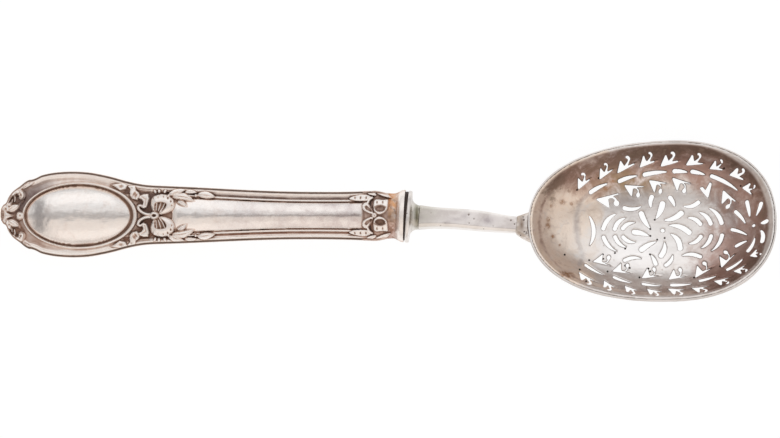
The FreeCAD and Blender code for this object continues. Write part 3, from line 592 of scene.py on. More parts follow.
# the butt's volutes
VOLUTE = (
    (1.9, 3), (2.4, 4.9), (3.8, 6.4), (5.5, 7), (6.9, 6.5), (7.05, 5.2), (6.5, 4), (5.6, 1.8), (4.2, 0.75),
    (2.4, 0.85),
)
VOLUTE_RIDGE = (
    (2.42, 1.5), (2.3, 3.04), (2.62, 4.18), (3.18, 5.2), (4.07, 5.93), (4.97, 6.38), (5.86, 6.6),
    (6.5, 6.2), (6.82, 5.59), (6.6, 4.95), (6.15, 4.75),
)
VOLUTE_PETAL = (
    (2.35, 1.7), (2.7, 2.75), (3.6, 3.1), (4.8, 3.2), (5.7, 2.95), (5.3, 2.1), (4.3, 1.3), (3.2, 1),
)
VOLUTE_TEETH = (
    ((4.25, 5.7), (4.55, 4.8), (4.35, 3.75)), ((5.55, 6.1), (5.85, 5.3), (5.5, 4.35)), ((3.1, 3),
    (3.7, 3.75), (3.75, 4.4)),
)
VOLUTE_LINE = ((2.05, 1.9), (2.3, 1.3), (2.8, 0.88), (3.7, 0.62), (4.9, 0.75), (5.55, 1.3))
VOLUTE_STEM = ((1.85, 1.3), (2.3, 0.95), (3.2, 0.5), (4.5, 0.12), (4.6, 0), (1.8, 0))

# the collar's bow
PETAL = (
    (102.4, 0.55), (101.77, 1.38), (101.68, 2.71), (101.87, 4), (102.6, 4.35), (104.3, 4.25), (105.6, 4.25),
    (105.7, 3), (105.4, 1.5), (104.3, 0.5), (103.2, 0.2),
)
PETAL_HOLLOW = ((102, 1.85), (102.8, 2.6), (104, 2.75), (105, 2.2), (104.9, 1.3), (103.9, 0.85), (102.6, 1))
PETAL_EDGE = ((102.1, 2.2), (102.9, 2.6), (104, 2.7), (105, 2.2))
LOBE = (
    (101.5, 0.35), (100.1, 0.75), (99, 1.45), (98.7, 2.33), (99.2, 3.1), (100.1, 3.25), (101, 2.6),
    (101.65, 1.2),
)
LOBE_HOLLOW = (
    (101.35, 0.95), (100.8, 0.98), (99.8, 1.4), (99.3, 2.2), (99.75, 2.75), (100.3, 2.5), (100.95, 1.85),
)
RIBBON_END = (
    (95.1, 4.46), (95.94, 5.1), (98.2, 5.55), (100.1, 5.45), (101.4, 5.05), (101.5, 4.65), (100.9, 4.14),
    (99.7, 3.85), (98.2, 3.85), (96.3, 4),
)
RIBBON_TURN = ((99, 2.6), (99.4, 3.1), (100.1, 3.3), (100.35, 3.85), (100.7, 4.35), (101.3, 4.8))
RIBBON_GAP = ((101.4, 5), (100.95, 3.9), (100.95, 2.6), (101.25, 1.3))


def half_width(x):
    return np.interp(x, HALF_LINE[:, 0], HALF_LINE[:, 1])


def ornament_axis(x):
    return -0.38 + 0.005 * x


def plain_height(x, y, v, depth):
    """The stamped plate, panel, cartouche and collar without their ornament."""
    half = half_width(x)
    border = 3.15 * swell(unit(depth / 0.8), 2.1) - 0.35 * unit((depth - 0.8) / 0.6) ** 2
    outer = oval_inset(x, v, *RING_OUTER)
    by_ring = bell(np.maximum(outer, 0), 0, 0.85) * (x < 40)
    cove = 2.8 - 0.45 * ease(1.4, 2.3, depth) + 0.45 * by_ring
    h = border + (cove - border) * ease(1.28, 1.66, depth)

    # shaft: a fine bead, a groove and the rounded panel
    shaft = (x > 45) & (x < 99.4)
    bead = arch((depth - BEAD_INSET) / 0.34)
    h = np.where(shaft & (bead > 0), smooth_max(2.95 + 0.6 * bead, h, 0.06), h)
    panel_half = half - PANEL_INSET
    end = arch(unit((48.3 - x) / 1.5))
    panel = np.interp(x, (46, 49, 56, 70, 109), (4.5, 4.85, 5.15, 5.25, 5.28))
    panel = panel - 1.35 * unit(np.abs(v) / panel_half) ** 1.9 - 0.9 * (1 - end)
    panel = panel - 0.25 * (1 - ease(0, 0.3, depth - PANEL_INSET))
    on_panel = (depth > PANEL_INSET) & (np.abs(v) < (panel_half + 0.4) * np.maximum(end, 0.02))
    on_panel = on_panel & (x > 46.8) & (x < 99.8)
    h = np.where(shaft & (depth > BEAD_INSET + 0.28) & ~on_panel & (x > 46.6), PANEL_FLOOR, h)
    h = np.where(on_panel, smooth_max(panel, PANEL_FLOOR, 0.05), h)

    # cartouche: ring, groove and dome
    inner = oval_inset(x, v, *RING_INNER)
    foot = oval_inset(x, v, *DOME_FOOT)
    h = np.where(inner <= 0, MOAT_FLOOR, h)
    band = unit(inner / np.maximum(inner - outer, 1e-6))
    steep = 3 + 0.85 * swell(1 - np.abs(2 * band - 1), 2.2)
    soft = 2.75 + 1.1 * np.cos(math.pi * np.clip(band - 0.5, 0, 0.5)) ** 1.2
    soft = soft + (steep - soft) * ease(28, 34, x)
    ring = np.where(band > 0.5, soft, steep)
    h = np.where((outer < 0) & (inner > 0), smooth_max(ring, h, 0.05), h)
    dome = -0.1 + 6 * np.maximum(arch(np.hypot((x - DOME_MIDDLE) / 16.4, v / 9.2)), 0.05**0.5)
    h = np.where(foot < 0, smooth_max(dome - 0.15 * ease(-0.3, 0, foot), MOAT_FLOOR, 0.08), h)

    # collar: an oval section with a belt and a flared lip
    tall = np.interp(x, (98, 101, 104.6, 105.9, 106.6, 107.7, 108.3, 108.8, 109.9),
                     (5.05, 5.05, 5, 4.75, 4.62, 4.7, 5.15, 5.72, 5.8))
    mix = ease(98.3, 99.1, x)
    return h * (1 - mix) + tall * arch(y / (half + 0.01)) * mix


def ribbon_floor(x, y):
    return 3 + 0.9 * (1 - unit(np.abs(y) / 8.5) ** 2)


def collar_floor(x, y):
    return 4.55 * arch(y / (half_width(x) + 0.01)) + 0.5


def lowered(floor, by):
    return lambda x, y: floor(x, y) - by


def bow_ornament(r):
    """Two loops of ribbon, their gathers, the knot, the fluttering tails and three small leaves."""
    r.patch(curve(LOOP, 6, True), 1.6, 1.7, ribbon_floor)
    r.sink(curve(LOOP_HOLLOW, 6, True), 1.3, 0.5, 0.8)
    for line, width, rise in GATHERS:
        r.ridge(line, width, rise, floor=lowered(ribbon_floor, 0.15))
    for place, dirt in LOOP_DENTS:
        r.pit(place, (0.22, 0.36), 0.3, dirt)
    r.bump((42.45, 0.05), (1.35, 1.15), 2, ribbon_floor, 3, soil=0.9, both=False)
    r.pit((42.4, 0.05), (0.55, 0.36), 1, 1, both=False)
    r.ridge(curve(SCROLL, 6), 0.5, 1.25, 0.8, ribbon_floor)
    for outline, rise, edge, crease in FOLDS:
        r.patch(outline, rise, edge, ribbon_floor, crease=crease)
    for place, radii, deep in FOLD_DENTS:
        r.pit(place, radii, deep, 0.4)
    # the wedge between the loops' ends and the panel
    wedge = plateau(43.4, 44.8, 47.2, 48, r.x) * (1 - ease(0.6, 1.5, np.abs(r.y)))
    top = 3 + 1.1 * wedge
    r.h = np.where(wedge > 0.02, np.maximum(r.h, top), r.h)
    # painted shade, with grime, on the wedge's low ground
    r.stain(0.7 * wedge * (1 - ease(0.3, 0.6, r.h - top)))
    for leaf in BOW_LEAVES:
        r.leaf(*leaf, 0, 0.8, 0.3, ribbon_floor)


def laurel_leaves(r):
    """Leaves along both sides of the panel's beginning, with berries and a twig."""
    r.ridge(TWIG, 0.2, 0.6, floor=ribbon_floor)
    for start, end, width, bend, rise in LEAVES:
        r.leaf(start, end, width, bend, rise, width * 0.42, lowered(ribbon_floor, 0.05), (0.14, 0.3), 1.7)
    for place in BERRIES:
        r.bump(place, (0.42, 0.42), 1.15, ribbon_floor)


def butt_ornament(r):
    """Leaf-shaped finial, two scrolled volutes, the stem between them, a bead and acanthus tips."""
    r.bump((2.2, 0), (1.88, 3.25), 3.2, 0, 2.6, both=False)
    r.pit((1.15, 0.1), (0.5, 1.75), 0.7, 0.65, both=False)
    for y in (-1.35, -0.35, 0.75, 1.6):
        r.ridge(((0.6, y + 0.1), (1.4, y)), 0.15, 0.35, soil=0, both=False)
    r.patch(curve(VOLUTE, 6, True), 1.25, 0.9, 2.1)
    r.patch(VOLUTE_STEM, 0.95, 0.5, 2.25)
    r.pit((4.75, 4.3), (1.85, 1.35), 1.4, 1.1)
    r.patch(curve(VOLUTE_PETAL, 5, True), 1.35, 0.8, 2.35, soil=0.6,
            crease=((((2.9, 1.6), (4, 2.35), (5, 2.7)), 0.13, 0.22),))
    r.ridge(curve(VOLUTE_RIDGE, 5), 0.55, 0.8, 1.15, k=0.12, soil=0.2)
    for line in VOLUTE_TEETH:
        r.ridge(line, 0.44, 1.3, 0.45, k=0.12, soil=0.3)
    r.groove(curve(VOLUTE_LINE, 4), 0.26, 0.6, 0.5)
    r.bump((5.9, -0.05), (1.08, 1.22), 1.75, 2.75, soil=0.8, both=False)
    r.pit((5.95, 0), (0.3, 0.42), 0.4, 0.55, both=False)
    for start, end, width, rise in (((5.4, 6.9), (8.7, 9.2), 1.15, 0.9), ((6.3, 7), (9.8, 9), 0.8, 0.7)):
        r.leaf(start, end, width, 0.15, rise, 0.4, 2.9, (0.12, 0.25))


def collar_ornament(r):
    """A smaller bow with beaded ribbon ends, and leaves at the collar's sides."""
    r.patch(curve(PETAL, 5, True), 0.75, 0.4, collar_floor)
    # the petals' hollows are darkened by painted shade, more on the lower side, and their edges too
    for side, dirt, edge_dirt in ((1, 0.5, 0.95), (-1, 0.95, 0.9)):
        r.sink(curve(np.array(PETAL_HOLLOW) * (1, side), 6, True), 0.8, 0.5, dirt, both=False)
        r.groove(np.array(PETAL_EDGE) * (1, side), 0.28, 0.1, edge_dirt, both=False)
    for x in (102.7, 104.25):
        r.pit((x, 3.55), (0.17, 0.45), 0.35, 0.7)
    r.bump((101.97, 0.06), (0.78, 0.78), 0.85, collar_floor, soil=0.8, both=False)
    r.pit((102, 0), (0.18, 0.28), 0.2, 0.6, both=False)
    r.patch(curve(LOBE, 5, True), 0.6, 0.3, collar_floor)
    r.sink(curve(LOBE_HOLLOW, 5, True), 0.5, 0.3, 0.55)
    r.patch(curve(RIBBON_END, 5, True), 0.65, 0.35,
            lambda x, y: np.maximum(collar_floor(x, y) - 0.2, 3.2))
    r.groove(curve(RIBBON_GAP, 4), 0.42, 0.6, 0.5)
    r.ridge(curve(RIBBON_TURN, 5), 0.34, 0.65, floor=collar_floor)
    for x in (96.7, 98.2, 99.7):
        r.pit((x, 4.75), (0.22, 0.42), 0.35, 0.75)
    for leaf in (((99.8, 6.15), (102.6, 5.35), 1, 0.15), ((102.3, 6.25), (106.5, 4.7), 1.2, 0.25)):
        r.leaf(*leaf, 0.6, 0.4, lowered(collar_floor, -0.1), (0.12, 0.2))


def grime_and_tarnish(r, y, depth, low):
    """Adds brown grime and painted shade to the relief, and gives back its tarnish."""
    x, v = r.x, r.y
    from_ring = oval_inset(x, v, *RING_OUTER)
    channel = ease(1.35, 1.7, depth) * ease(-0.25, 0.1, from_ring) * (x > 5.5) * (x < 45.5)
    upper = ease(-0.5, 0.5, v) * ease(54, 58, x) * (x < 98.5)
    on_collar = plateau(97.6, 99.6, 106, 108, x)

    # grime and painted shade along the outline, where the edge curves down, and painted shade with grime in
    # the moat round the dome
    edge = np.interp(x, (0, 5, 8, 100, 104, 106), (0.7, 0.8, 1.5, 1.5, 0.6, 0.3))
    edge = edge * (1 - ease(0.48, 0.78, depth))
    shoulder = 0.45 * ease(0.7, 1.6, r.h) + 0.55 * ease(1.8, 2.4, r.h)
    r.stain(edge * np.maximum(shoulder, 0.6 * (1 - ease(0.1, 0.25, r.h))))
    fading = 0.3 + 0.35 * ease(29, 35, x)
    gone = np.interp(x, (8, 14, 29, 35), (1.6, 0.76, 0.8, 1.2))
    moat = plateau(0.02, 0.14, fading, gone, -oval_inset(x, v, *RING_INNER))
    r.stain(np.interp(x, (7.5, 13), (0.55, 0.95)) * moat)
    # painted shade with grime at the panel's end, in the groove along its upper side, in the channel and
    # round the collar's bow
    r.stain(0.8 * low * bell(x, 99.2, 0.55) * (np.abs(v) < 3.7))
    r.stain(0.5 * bell(depth, 3.1, 0.16) * upper)
    r.stain(0.26 * channel * low)
    by_bow = bell(x, 103.5, 1.8) * bell(v, 0, 0.9)
    r.stain((0.55 + 0.16 * waves(x, y, 13, 1.7) + 0.2 * by_bow) * on_collar * low)

    # tarnish in the channels, most of it towards the butt, and on the collar
    towards_butt = (1 - ease(9.5, 17, x)) * (0.6 + 0.4 * ease(-2, 2, v))
    towards_butt = (0.75 + 0.25 * bell(from_ring, 0, 1.3)) * towards_butt
    return low * np.maximum.reduce([
        channel * (0.06 * ease(1.6, 2.4, depth) + towards_butt),
        (0.7 + 0.25 * ease(75, 96, x)) * bell(depth, 1.7, 0.3) * upper,
        0.38 * bell(v, 0.1, 0.55) * plateau(76, 94, 97.8, 98.6, x),
        0.8 * plateau(1.45, 1.65, 2.05, 2.2, depth) * (x > 45.5) * (x < 98.5),
        0.55 * bell(x, 98.9, 0.6) * (np.abs(v) < 3.8) * low,
        0.35 * on_collar,
    ])


def relief(x, y):
    """At scattered places: the front shell's height, its grime and painted shade, the depth inside its
    outline, its tarnish.
    """
    depth = inside_depth(x, np.abs(y), HALF_SHAPE)
    v = y - ornament_axis(x) + 0.05 * waves(x, y, 3, 5) * plateau(36, 40, 60, 64, x)
    plain = plain_height(x, y, v, depth)
    r = Relief(x, v, plain.copy())
    # the ground between the ring and the panel lies deeper than the channel
    r.h -= 0.15 * plateau(36.4, 38, 46.6, 47.6, x) * (np.abs(v) < 6.2) * (oval_inset(x, v, *RING_OUTER) > 0)
    bow_ornament(r)
    laurel_leaves(r)
    butt_ornament(r)
    collar_ornament(r)
    tarnish = grime_and_tarnish(r, y, depth, 1 - ease(0.12, 0.4, r.h - plain))

    # nothing stands out past the seam's edge
    cap = 3.15 * swell(unit(depth / 0.6), 2.1) + 2.8 * ease(0.3, 1.4, depth)
    r.h = np.minimum(r.h, cap)
    r.h += 0.012 * waves(x, y, 5, 2.5) * ease(0.2, 0.8, depth)
    r.h += 0.03 * waves(x, y, 8, 14) * ease(0.4, 1.5, depth)
    r.h = np.maximum(r.h, 0)
    # the painted shade, the grime and the tarnish are mostly kept off the side walls under the shoulder
    wall = (1 - ease(1.5, 2.3, r.h)) * (1 - ease(0.25, 0.45, depth))
    return r.h, r.dirt * (1 - 0.7 * wall), depth, tarnish * (1 - 0.7 * wall)


def box_blur(field, radius):
    size = 2 * radius + 1
    for axis in (0, 1):
        padded = np.concatenate([np.repeat(np.take(field, [0], axis), radius + 1, axis), field,
                                 np.repeat(np.take(field, [-1], axis), radius, axis)], axis)
        total = np.cumsum(padded, axis)
        hi = np.take(total, np.arange(size, total.shape[axis]), axis)
        field = (hi - np.take(total, np.arange(0, total.shape[axis] - size), axis)) / size
    return field


def bilinear(field, x, y, x0, y0, step):
    i = np.clip((x - x0) / step, 0, field.shape[0] - 1.001)
    j = np.clip((y - y0) / step, 0, field.shape[1] - 1.001)
    a, b = i.astype(int), j.astype(int)
    u, w = i - a, j - b
    return ((field[a, b] * (1 - w) + field[a, b + 1] * w) * (1 - u)
            + (field[a + 1, b] * (1 - w) + field[a + 1, b + 1] * w) * u)


def cavities(x, y):
    """How far each place lies under its surroundings, and how far it stands over them."""
    step = 0.13
    xs = np.arange(-1.5, LENGTH + 1.5, step)
    ys = np.arange(-12.6, 12.6, step)
    gx, gy = np.meshgrid(xs, ys, indexing="ij")
    h, _, depth, _ = relief(gx, gy)
    out = depth < 0
    h = np.where(out, 2.2, h)
    near = box_blur(box_blur(h, 2), 2) - h
    far = box_blur(box_blur(h, 6), 6) - h
    cavity = unit(near / 0.45) * 0.6 + unit(far / 0.85) * 0.32 * ease(0.9, 1.5, depth)
    cavity *= 0.7 + 0.3 * ease(0.3, 1.2, oval_inset(gx, gy - ornament_axis(gx), *RING_OUTER))
    cavity = box_blur(np.where(out, 0, cavity), 1)
    return [bilinear(field, x, y, xs[0], ys[0], step) for field in (cavity, unit(-near / 0.35))]


def handle_points():
    """Places of the outer skin's vertices, row by row and close together at the edges."""
    rows = np.concatenate([np.arange(lo, hi - step / 3, step) for lo, hi, step in ROW_SPANS])
    rows = np.append(rows, LENGTH)
    ys = []
    for w in half_width(rows):
        edge = np.array(EDGE_STEPS) * min(1, w / 2.5)
        y = w - np.concatenate([edge, np.linspace(edge[-1], w, INNER_COLUMNS + 1)[1:]])
        ys.append(np.concatenate([y, -y[-2::-1]]))
    ys = np.array(ys)
    return np.repeat(rows[:, None], ys.shape[1], 1), ys


def hollow_height(x, y):
    """Inside of the shell, a sheet's thickness under its main forms."""
    dome = -0.1 + 5.5 * arch(np.hypot((x - DOME_MIDDLE) / 15.9, y / 8.7))
    top = np.interp(x, (46, 60, 103, 105, 109), (3.9, 4.68, 4.78, 4.3, 4.2))
    wide = np.interp(x, (46, 60, 77, 104), (5.7, 5.6, 4.9, 4.8))
    tall = np.interp(x, (98, 103.9, 105.6, 107.3, 108.8, 109.9), (4.72, 4.72, 4.43, 4.32, 4.84, 5.3))
    panel = np.where(x > 45.8, top * arch(y / wide), 0)
    collar = np.where(x > 100.9, tall * arch(y / np.maximum(half_width(x) - SHEET, 0.2)), 0)
    return np.maximum.reduce([np.where(x < 102, 2.2, 0), dome, panel, collar]) + 0.02


def skewed(x, y, z):
    """Points of the shell, whose mouth is cut slightly askew."""
    return np.stack([x + 0.038 * y * ease(104, LENGTH, x), y, z], -1)


def grid_faces(rows, columns, flip=False):
    a = np.arange(rows - 1)[:, None] * columns + np.arange(columns - 1)
    b, c, d = a + 1, a + columns + 1, a + columns
    return np.stack([a, b, c, d] if flip else [a, d, c, b], -1).reshape(-1, 4)


def build_handle():
    x, y = handle_points()
    rows, columns = x.shape
    flat_x, flat_y = x.ravel(), y.ravel()
    h, dirt, depth, tarnish = relief(flat_x, flat_y)
    cavity, convex = cavities(flat_x, flat_y)
    h = h.reshape(rows, columns)
    h[:, [0, -1]] = 0
    y[:, 0] -= 0.05
    y[:, -1] += 0.05
    outer = skewed(x, y, h).reshape(-1, 3)

    # the inside has a vertical wall and far fewer columns
    half = 1 - np.append(0, np.linspace(0, 1, HOLLOW_COLUMNS))
    xin = x[:, :1] + SHEET * (1 - x[:, :1] / LENGTH)
    win = np.maximum(half_width(xin) - SHEET, 0.1)
    yin = win * np.concatenate([half, -half[-2::-1]])
    n_in = yin.shape[1]
    xin = np.repeat(xin, n_in, 1)
    zin = np.minimum(hollow_height(xin, yin), np.maximum(win * 1.3, 0.1))
    zin[:, [0, -1]] = 0
    inner = skewed(xin, yin, zin).reshape(-1, 3)

    base = len(outer)
    faces = grid_faces(rows, columns).tolist() + (grid_faces(rows, n_in, flip=True) + base).tolist()
    for i in range(rows - 1):
        for column, column_in, turn in ((0, 0, 1), (columns - 1, n_in - 1, -1)):
            a, d = i * columns + column, base + i * n_in + column_in
            faces.append([a, a + columns, d + n_in, d][::turn])
    # the two ends join unequal numbers of columns
    joints = np.rint(np.linspace(0, columns - 1, n_in)).astype(int)
    for row, turn in ((0, 1), (rows - 1, -1)):
        for j in range(n_in - 1):
            run = [row * columns + k for k in range(joints[j], joints[j + 1] + 1)]
            faces.append((run + [base + row * n_in + j + 1, base + row * n_in + j])[::turn])

    panel = plateau(48, 49, 98, 98.8, flat_x) * (depth > 3)
    on_dome = oval_inset(flat_x, flat_y - ornament_axis(flat_x), *DOME_FOOT)
    # the values outside, and the one inside
    marks = {
        "cavity": (cavity, 0.6), "dirt": (dirt, 0.3), "tarnish": (tarnish, 0.6),
        "worn": (convex * ease(0.5, 0.9, depth), 0),
        "matte": (ease(-0.4, 0, on_dome) * (1 - panel), 1),
        "belt": (plateau(105.3, 106.1, 107.9, 108.6, flat_x), 0),
        "lip": (ease(107, 108, flat_x), 0),
    }
    marks = {name: np.append(values, np.full(len(inner), inside)) for name, (values, inside) in marks.items()}
    place = np.array(Matrix.Translation(SHIFT + Vector((0, 0, HANDLE_LIFT)))
                     @ Matrix.Rotation(-HANDLE_PITCH, 4, "Y"))
    for name, mirror in (("handle_front", 1), ("handle_back", -1)):
        points = (np.vstack([outer, inner]) * (1, 1, mirror) @ place[:3, :3].T + place[:3, 3]) * MM
        points[:, 2] = np.maximum(points[:, 2], 0.01 * MM)
        mesh = bpy.data.meshes.new(name)
        mesh.from_pydata(points.tolist(), [], [face[::mirror] for face in faces])
        mesh.validate(clean_customdata=False)
        mesh.polygons.foreach_set("use_smooth", [True] * len(mesh.polygons))
        mesh.materials.append(HANDLE)
        mesh.update()
        piece = add_object(name, mesh)
        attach(piece, "root")
        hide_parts(name + "_shell")
        add_values(piece, **marks)
        mesh.set_sharp_from_angle(angle=math.radians(75))


build_handle()

# Stem, bolster, joint and bowl


def vectors(mesh, name):
    values = np.empty(len(mesh.vertices) * 3)
    mesh.vertices.foreach_get(name, values)
    return values.reshape(-1, 3)


def set_points(mesh, points):
    mesh.vertices.foreach_set("co", (points * MM).ravel())
    mesh.update()


def remeshed_copy(node, name, voxel, rounds, material, unevenness, pits=()):
    """A softened, uneven copy that takes a CAD node's place, its points in millimetres and its normals."""
    piece = add_object(name, nodes[node].data.copy())
    remesh = piece.modifiers.new("remesh", "REMESH")
    remesh.mode = "VOXEL"
    remesh.voxel_size = voxel * MM
    relax = piece.modifiers.new("relax", "SMOOTH")
    relax.factor = 0.5
    relax.iterations = rounds
    mesh = bpy.data.meshes.new_from_object(piece.evaluated_get(bpy.context.evaluated_depsgraph_get()))
    piece.modifiers.clear()
    piece.data = mesh
    mesh.name = name
    co = vectors(mesh, "co") / MM
    normal = vectors(mesh, "normal")
    x, y, z = co.T
    shift = np.zeros(len(co))
    for seed, size, amount in unevenness:
        shift += amount * (waves(x, y, seed, size) + waves(y, z, seed + 50, size)
                           + waves(z, x, seed + 90, size)) / 1.7
    pitted = np.zeros(len(co))
    for px, py, radius, deep in pits:
        fall = bell(np.hypot(x - px, y - py), 0, radius) * (normal[:, 2] > 0.1)
        shift -= deep * fall
        pitted = np.maximum(pitted, fall)
    co = co + normal * shift[:, None]
    set_points(mesh, co)
    mesh.materials.clear()
    mesh.materials.append(material)
    mesh.polygons.foreach_set("use_smooth", [True] * len(mesh.polygons))
    add_values(piece, pitted=pitted)
    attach(piece, "root")
    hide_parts(node)
    return piece, co, normal


def photo_place(px, py):
    """A place in the photograph, in the frame's millimetres."""
    return (px + 1.5) * PIXEL + SHIFT.x, -(py - (AXIS_ROW + AXIS_SLOPE * px)) * PIXEL + SHIFT.y


def spot(x, y, px, py, rx, ry):
    """1 inside an oval spot given by its middle and radii in the photograph, 0 well outside it."""
    cx, cy = photo_place(px, py)
    return bell(np.hypot((x - cx) / (rx * PIXEL), (y - cy) / (ry * PIXEL)), 0, 1)


# middles of the pits in the photograph and their radii in millimetres
STEM_PITS = (
    (468.6, 214.7, 0.3), (473.8, 218.9, 0.22), (469.1, 223.1, 0.2), (510.7, 220.4, 0.28),
    (514.4, 224.1, 0.25), (516.7, 234.8, 0.22), (520.4, 235.3, 0.24), (523.7, 219.9, 0.3),
    (524.2, 231.6, 0.26), (493, 226, 0.16), (445, 223, 0.14), (431, 213, 0.13), (505, 212.5, 0.18),
    (483.5, 229, 0.15),
)
# share, middle and radii in the photograph of the stem's dull purple spots; the largest, at 487.5, is a
# painted reflection
BRUISES = (
    (0.6, 487.5, 220.5, 6, 4), (0.35, 465.5, 216, 4, 3), (0.35, 455, 219.5, 7, 2.2), (0.25, 447, 223, 3, 2),
    (0.3, 421, 217, 2.5, 4),
)
# the way that the bar's flat top faces
STEM_TOP = (0, 0.208, 0.978)


def build_stem():
    pits = [(*photo_place(px, py), radius, 0.1) for px, py, radius in STEM_PITS]
    piece, co, normal = remeshed_copy("stem", "stem_forged", 0.15, 3, STEM,
                                      ((11, 16, 0.05), (12, 5, 0.012)), pits)
    x, y, _ = co.T
    # marks for the painted shade on the flat top and in the notch, the painted shadow by the neck, and the
    # purple spots
    add_values(piece, top=ease(0.9, 0.985, normal @ STEM_TOP),
               notch=0.9 * spot(x, y, 417, 215.5, 1.7, 10),
               green=0.85 * spot(x, y, 417, 213, 19, 12),
               bruise=sum(share * spot(x, y, *place) for share, *place in BRUISES))
    piece, co, _ = remeshed_copy("bowl_lug", "lug_solder", 0.12, 3, LUG,
                                 ((21, 3.5, 0.06), (22, 1.2, 0.035)), pits)
    add_values(piece, recess=spot(co[:, 0], co[:, 1], 521.5, 224, 2.6, 8.5))
    piece, co, _ = remeshed_copy("bolster", "bolster_cast", 0.15, 3, STEM,
                                 ((31, 9, 0.03), (32, 2.5, 0.012)))
    x, y, _ = co.T
    # painted shade in the notch and by the disc, and painted shadow on the neck
    notch = 0.95 * spot(x, y, 416.8, 215.5, 2.2, 11) + 0.25 * spot(x, y, 411.5, 216, 1.2, 20)
    add_values(piece, top=0.5 * spot(x, y, 409, 214, 4, 30), notch=notch,
               green=0.9 * spot(x, y, 417, 214, 6, 16), bruise=0 * x)


BOWL_TURN = np.array(Matrix.Rotation(BOWL_YAW, 3, "Z") @ Matrix.Rotation(BOWL_ROLL, 3, "X"))
# the rim's reach towards the stem, towards the tip and to the sides, and the power of its oval
BOWL_LEFT, BOWL_RIGHT, BOWL_HALF, BOWL_POWER = 37.92, 27.2, 21.12, 2.23


def bowl_frame(co):
    """Places along and across the rim's plane, and the rim's reach on each one's side."""
    u, w, _ = ((co - np.array(BOWL_CENTRE)) @ BOWL_TURN).T
    return u, w, np.where(u < 0, BOWL_LEFT, BOWL_RIGHT)


# middles in the photograph of the drill dots, and middles and radii of the rust spots
DRILLS = (
    (577.3, 189.9), (598.8, 178), (655.6, 219.8), (651.2, 229.1), (651.2, 236), (658, 239.7),
    (589.6, 260.2), (603.5, 254.5), (603.9, 258.9), (625.7, 265.7), (630.4, 268.1), (615.6, 253.1),
    (625.9, 248.7), (586.1, 281.1), (604.4, 284.4), (649.1, 268.6), (650.8, 271.4), (650.7, 254.4),
    (580, 269.6), (564.9, 254.7), (665.5, 238.1), (741.1, 185.9), (724.4, 168.1), (720.6, 266.3),
    (752.3, 255.1), (694.6, 277.6), (608, 271.5), (640, 277.5),
)
RUST_SPOTS = (
    (562.5, 202, 2.6, 2.4), (572, 203.5, 1.8, 1.8), (548.5, 219, 2, 2.2), (548, 226, 2.2, 3.4),
    (553, 236.5, 2, 2.2), (563, 273.6, 4.2, 3), (570, 275.2, 4, 2.8), (551, 206, 1.4, 1.4),
    (560, 245, 1.2, 1.2), (606, 188, 3, 2), (612, 181, 2.4, 1.6),
)
# the edge of the flat bottom, along which a dull grey line of painted shade lies
BOTTOM_LINE = ((590, 193), (581, 203), (577, 216), (577, 230), (579.5, 244), (583, 256), (580, 264))


